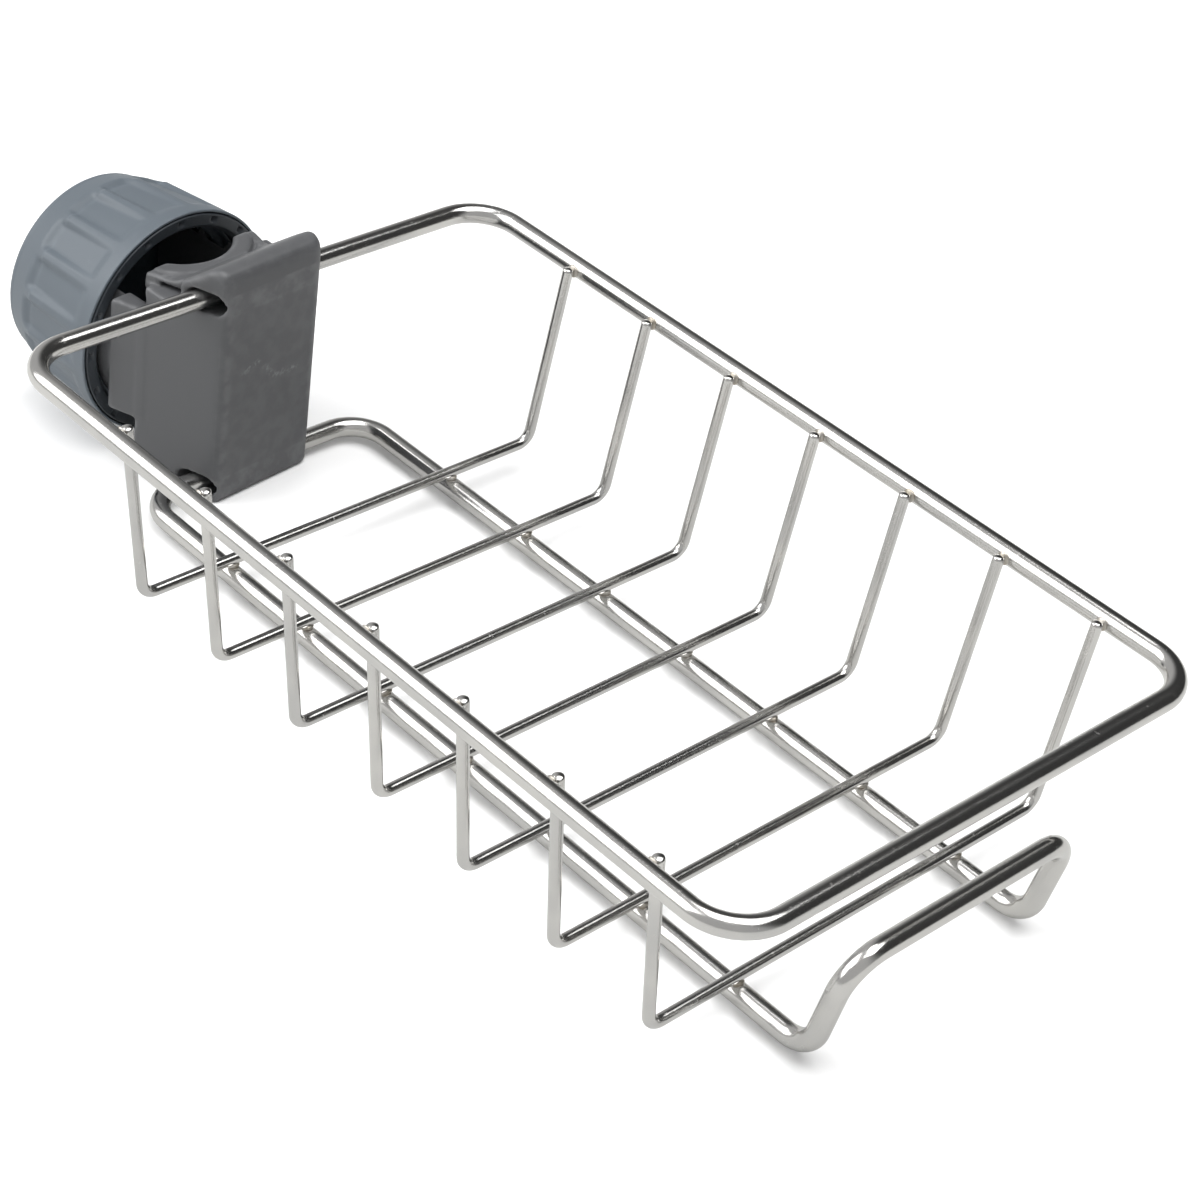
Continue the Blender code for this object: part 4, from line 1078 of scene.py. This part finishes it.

# %% [markdown]
# ### Moulded plastic
# The clamp is an injection moulding in a satin grey. Up close its skin has a very fine grain from the
# mould, soft flow clouds in its colour, pale scuffs on the faces that get touched, and a painted
# highlight along its edges. The edge mark on a mesh tells where the highlight is painted, and the
# scuffed mark, which the body alone has, where it was scratched.


# %% Plastics
def moulded(name, colour, scuff_and_highlight, grain, gloss, scuffs):
    """Satin moulded plastic with flow clouds, grain, scuffs and a painted highlight along the edges."""
    r = Recipe(name)
    place = r.place()
    clouds = r.noise(place, 28.0, 3.0, 0.5)
    fine = r.noise(place, 2600.0, 2.0, 0.6)
    patches = r.noise(place, 60.0, 2.0).ramp(0.52, 0.68)
    drawn_out = r.mapped(place, (260.0, 60.0, 420.0), (0.5, 0.2, 0.9))
    strokes = r.noise(drawn_out, 1.0, 3.0, 0.6).ramp(0.60, 0.72)
    scratch = r.mark("scuffed") * r.noise(place, 900.0, 3.0, 0.7).ramp(0.42, 0.66) * 0.8
    scuff = patches * strokes * scuffs + scratch
    # Painted highlight: edges lighter where the edge mark is high, patchy by noise.
    edge_highlight = r.mark("edge") * r.noise(place, 330.0, 3.0).ramp(0.35, 0.7, 0.15, 1.0)
    darker = tuple(c * 0.96 for c in colour[:3]) + (1.0,)
    base = r.blend(clouds.ramp(0.3, 0.7), darker, colour)
    # The pale colour serves both the scuffs and the painted edge highlight.
    base = r.blend(scuff + edge_highlight * 0.35, base, scuff_and_highlight)
    rough = gloss + clouds * 0.08 + fine * 0.06 + scuff * 0.15
    bump = r.bump(fine + clouds * 0.4, grain, 0.0001)
    return r.finish(Base_Color=base, Roughness=rough, Normal=bump)


# The pale colours are for the scuffs and for the painted edge highlight.
CLAMP_GREY, CLAMP_SCUFF_AND_HIGHLIGHT = srgb(76, 77, 79), srgb(118, 119, 121)
CAP_GREY, CAP_SCUFF_AND_HIGHLIGHT = srgb(84, 92, 99), srgb(104, 112, 119)
# The ring is the cap's plastic, and its darker greys are painted shade.
RING_SHADED_GREY, RING_SHADED_SCUFF_AND_HIGHLIGHT = srgb(46, 51, 56), srgb(74, 80, 86)
for piece, recipe in (
    (clamp_body, ("clamp_plastic_satin", CLAMP_GREY, CLAMP_SCUFF_AND_HIGHLIGHT, 0.05, 0.40, 0.03)),
    (cap_shell, ("cap_plastic_satin", CAP_GREY, CAP_SCUFF_AND_HIGHLIGHT, 0.10, 0.42, 0.2)),
    (ring_piece, ("ring_plastic_satin", RING_SHADED_GREY, RING_SHADED_SCUFF_AND_HIGHLIGHT, 0.10, 0.42, 0.3)),
):
    piece.data.materials.append(moulded(*recipe))
    print(piece.name, "nodes:", len(piece.data.materials[0].node_tree.nodes))

# %% [markdown]
# ## Studio
# The photograph is a plain product shot on white. Polished wire shows what is round it more than its
# own colour, so the studio matters: a large soft light on the near left makes the broad white
# highlight of the long wires, and the dark far side gives the short wires their dark core. The floor
# is white to the eye and grey in the steel's mirror.

# %% Floor
FLOOR_REACH = 4
PAPER_WHITE = (0.93, 0.93, 0.93, 1.0)
PAPER_IN_MIRROR = (0.60, 0.60, 0.59, 1.0)

floor_mesh = bpy.data.meshes.new("studio_floor")
floor_corners = [(x * FLOOR_REACH, y * FLOOR_REACH, 0) for x, y in ((-1, -1), (1, -1), (1, 1), (-1, 1))]
floor_mesh.from_pydata(floor_corners, [], [(0, 1, 2, 3)])
floor = bpy.data.objects.new("studio_floor", floor_mesh)
bpy.context.scene.collection.objects.link(floor)
paper = Recipe("studio_paper")
in_mirror = paper.node("ShaderNodeLightPath", output="Is Glossy Ray")
white = paper.node("ShaderNodeBsdfDiffuse", None, {"Color": PAPER_WHITE})
grey = paper.node("ShaderNodeBsdfDiffuse", None, {"Color": PAPER_IN_MIRROR})
both_papers = paper.node("ShaderNodeMixShader", None, {0: in_mirror, 1: white, 2: grey})
paper.node("ShaderNodeOutputMaterial", None, {"Surface": both_papers})
floor_mesh.materials.append(paper.holder)
print("floor, m:", 2 * FLOOR_REACH)


# %% Lights
def soft_light(name, direction, distance, size, power, mirrored=True):
    """A square soft light that faces the object from a direction, mirrored in the steel or not."""
    data = bpy.data.lights.new(name, "AREA")
    data.shape = "SQUARE"
    data.size = size
    data.energy = power
    lamp = bpy.data.objects.new(name, data)
    bpy.context.scene.collection.objects.link(lamp)
    towards = Vector(direction).normalized()
    lamp.location = towards * distance
    lamp.rotation_mode = "QUATERNION"
    lamp.rotation_quaternion = towards.to_track_quat("Z", "Y")
    lamp.visible_glossy = mirrored


soft_light("key", (-0.54, -0.60, 0.62), 1.6, 1.3, 21.0)
soft_light("top", (0.14, 0.10, 1.0), 1.8, 1.4, 32.0)
soft_light("back", (-0.75, 0.75, 0.45), 2.0, 0.9, 9.0, False)

# %% Air
DARK_SIDE = (0.25, 0.85, 0.46)
AIR_LEVEL, DARK_DROP = 0.55, 0.50

world = bpy.data.worlds.new("studio_air")
bpy.context.scene.world = world
air = Recipe("studio_air", world)
direction = air.node("ShaderNodeTexCoord", output="Generated")
dot_product = {"operation": "DOT_PRODUCT"}
toward_dark = air.node("ShaderNodeVectorMath", dot_product, {0: direction, 1: DARK_SIDE}, output="Value")
level = AIR_LEVEL - toward_dark.ramp(0.25, 0.75) * DARK_DROP
seen = air.node("ShaderNodeLightPath", output="Is Camera Ray")
level = seen * (1.0 - level) + level
sky = air.node("ShaderNodeBackground", None, {"Color": (1.0, 1.0, 1.0, 1.0), "Strength": level})
air.node("ShaderNodeOutputWorld", None, {"Surface": sky})
bpy.context.scene.view_settings.view_transform = "Standard"
print("air nodes:", len(world.node_tree.nodes))
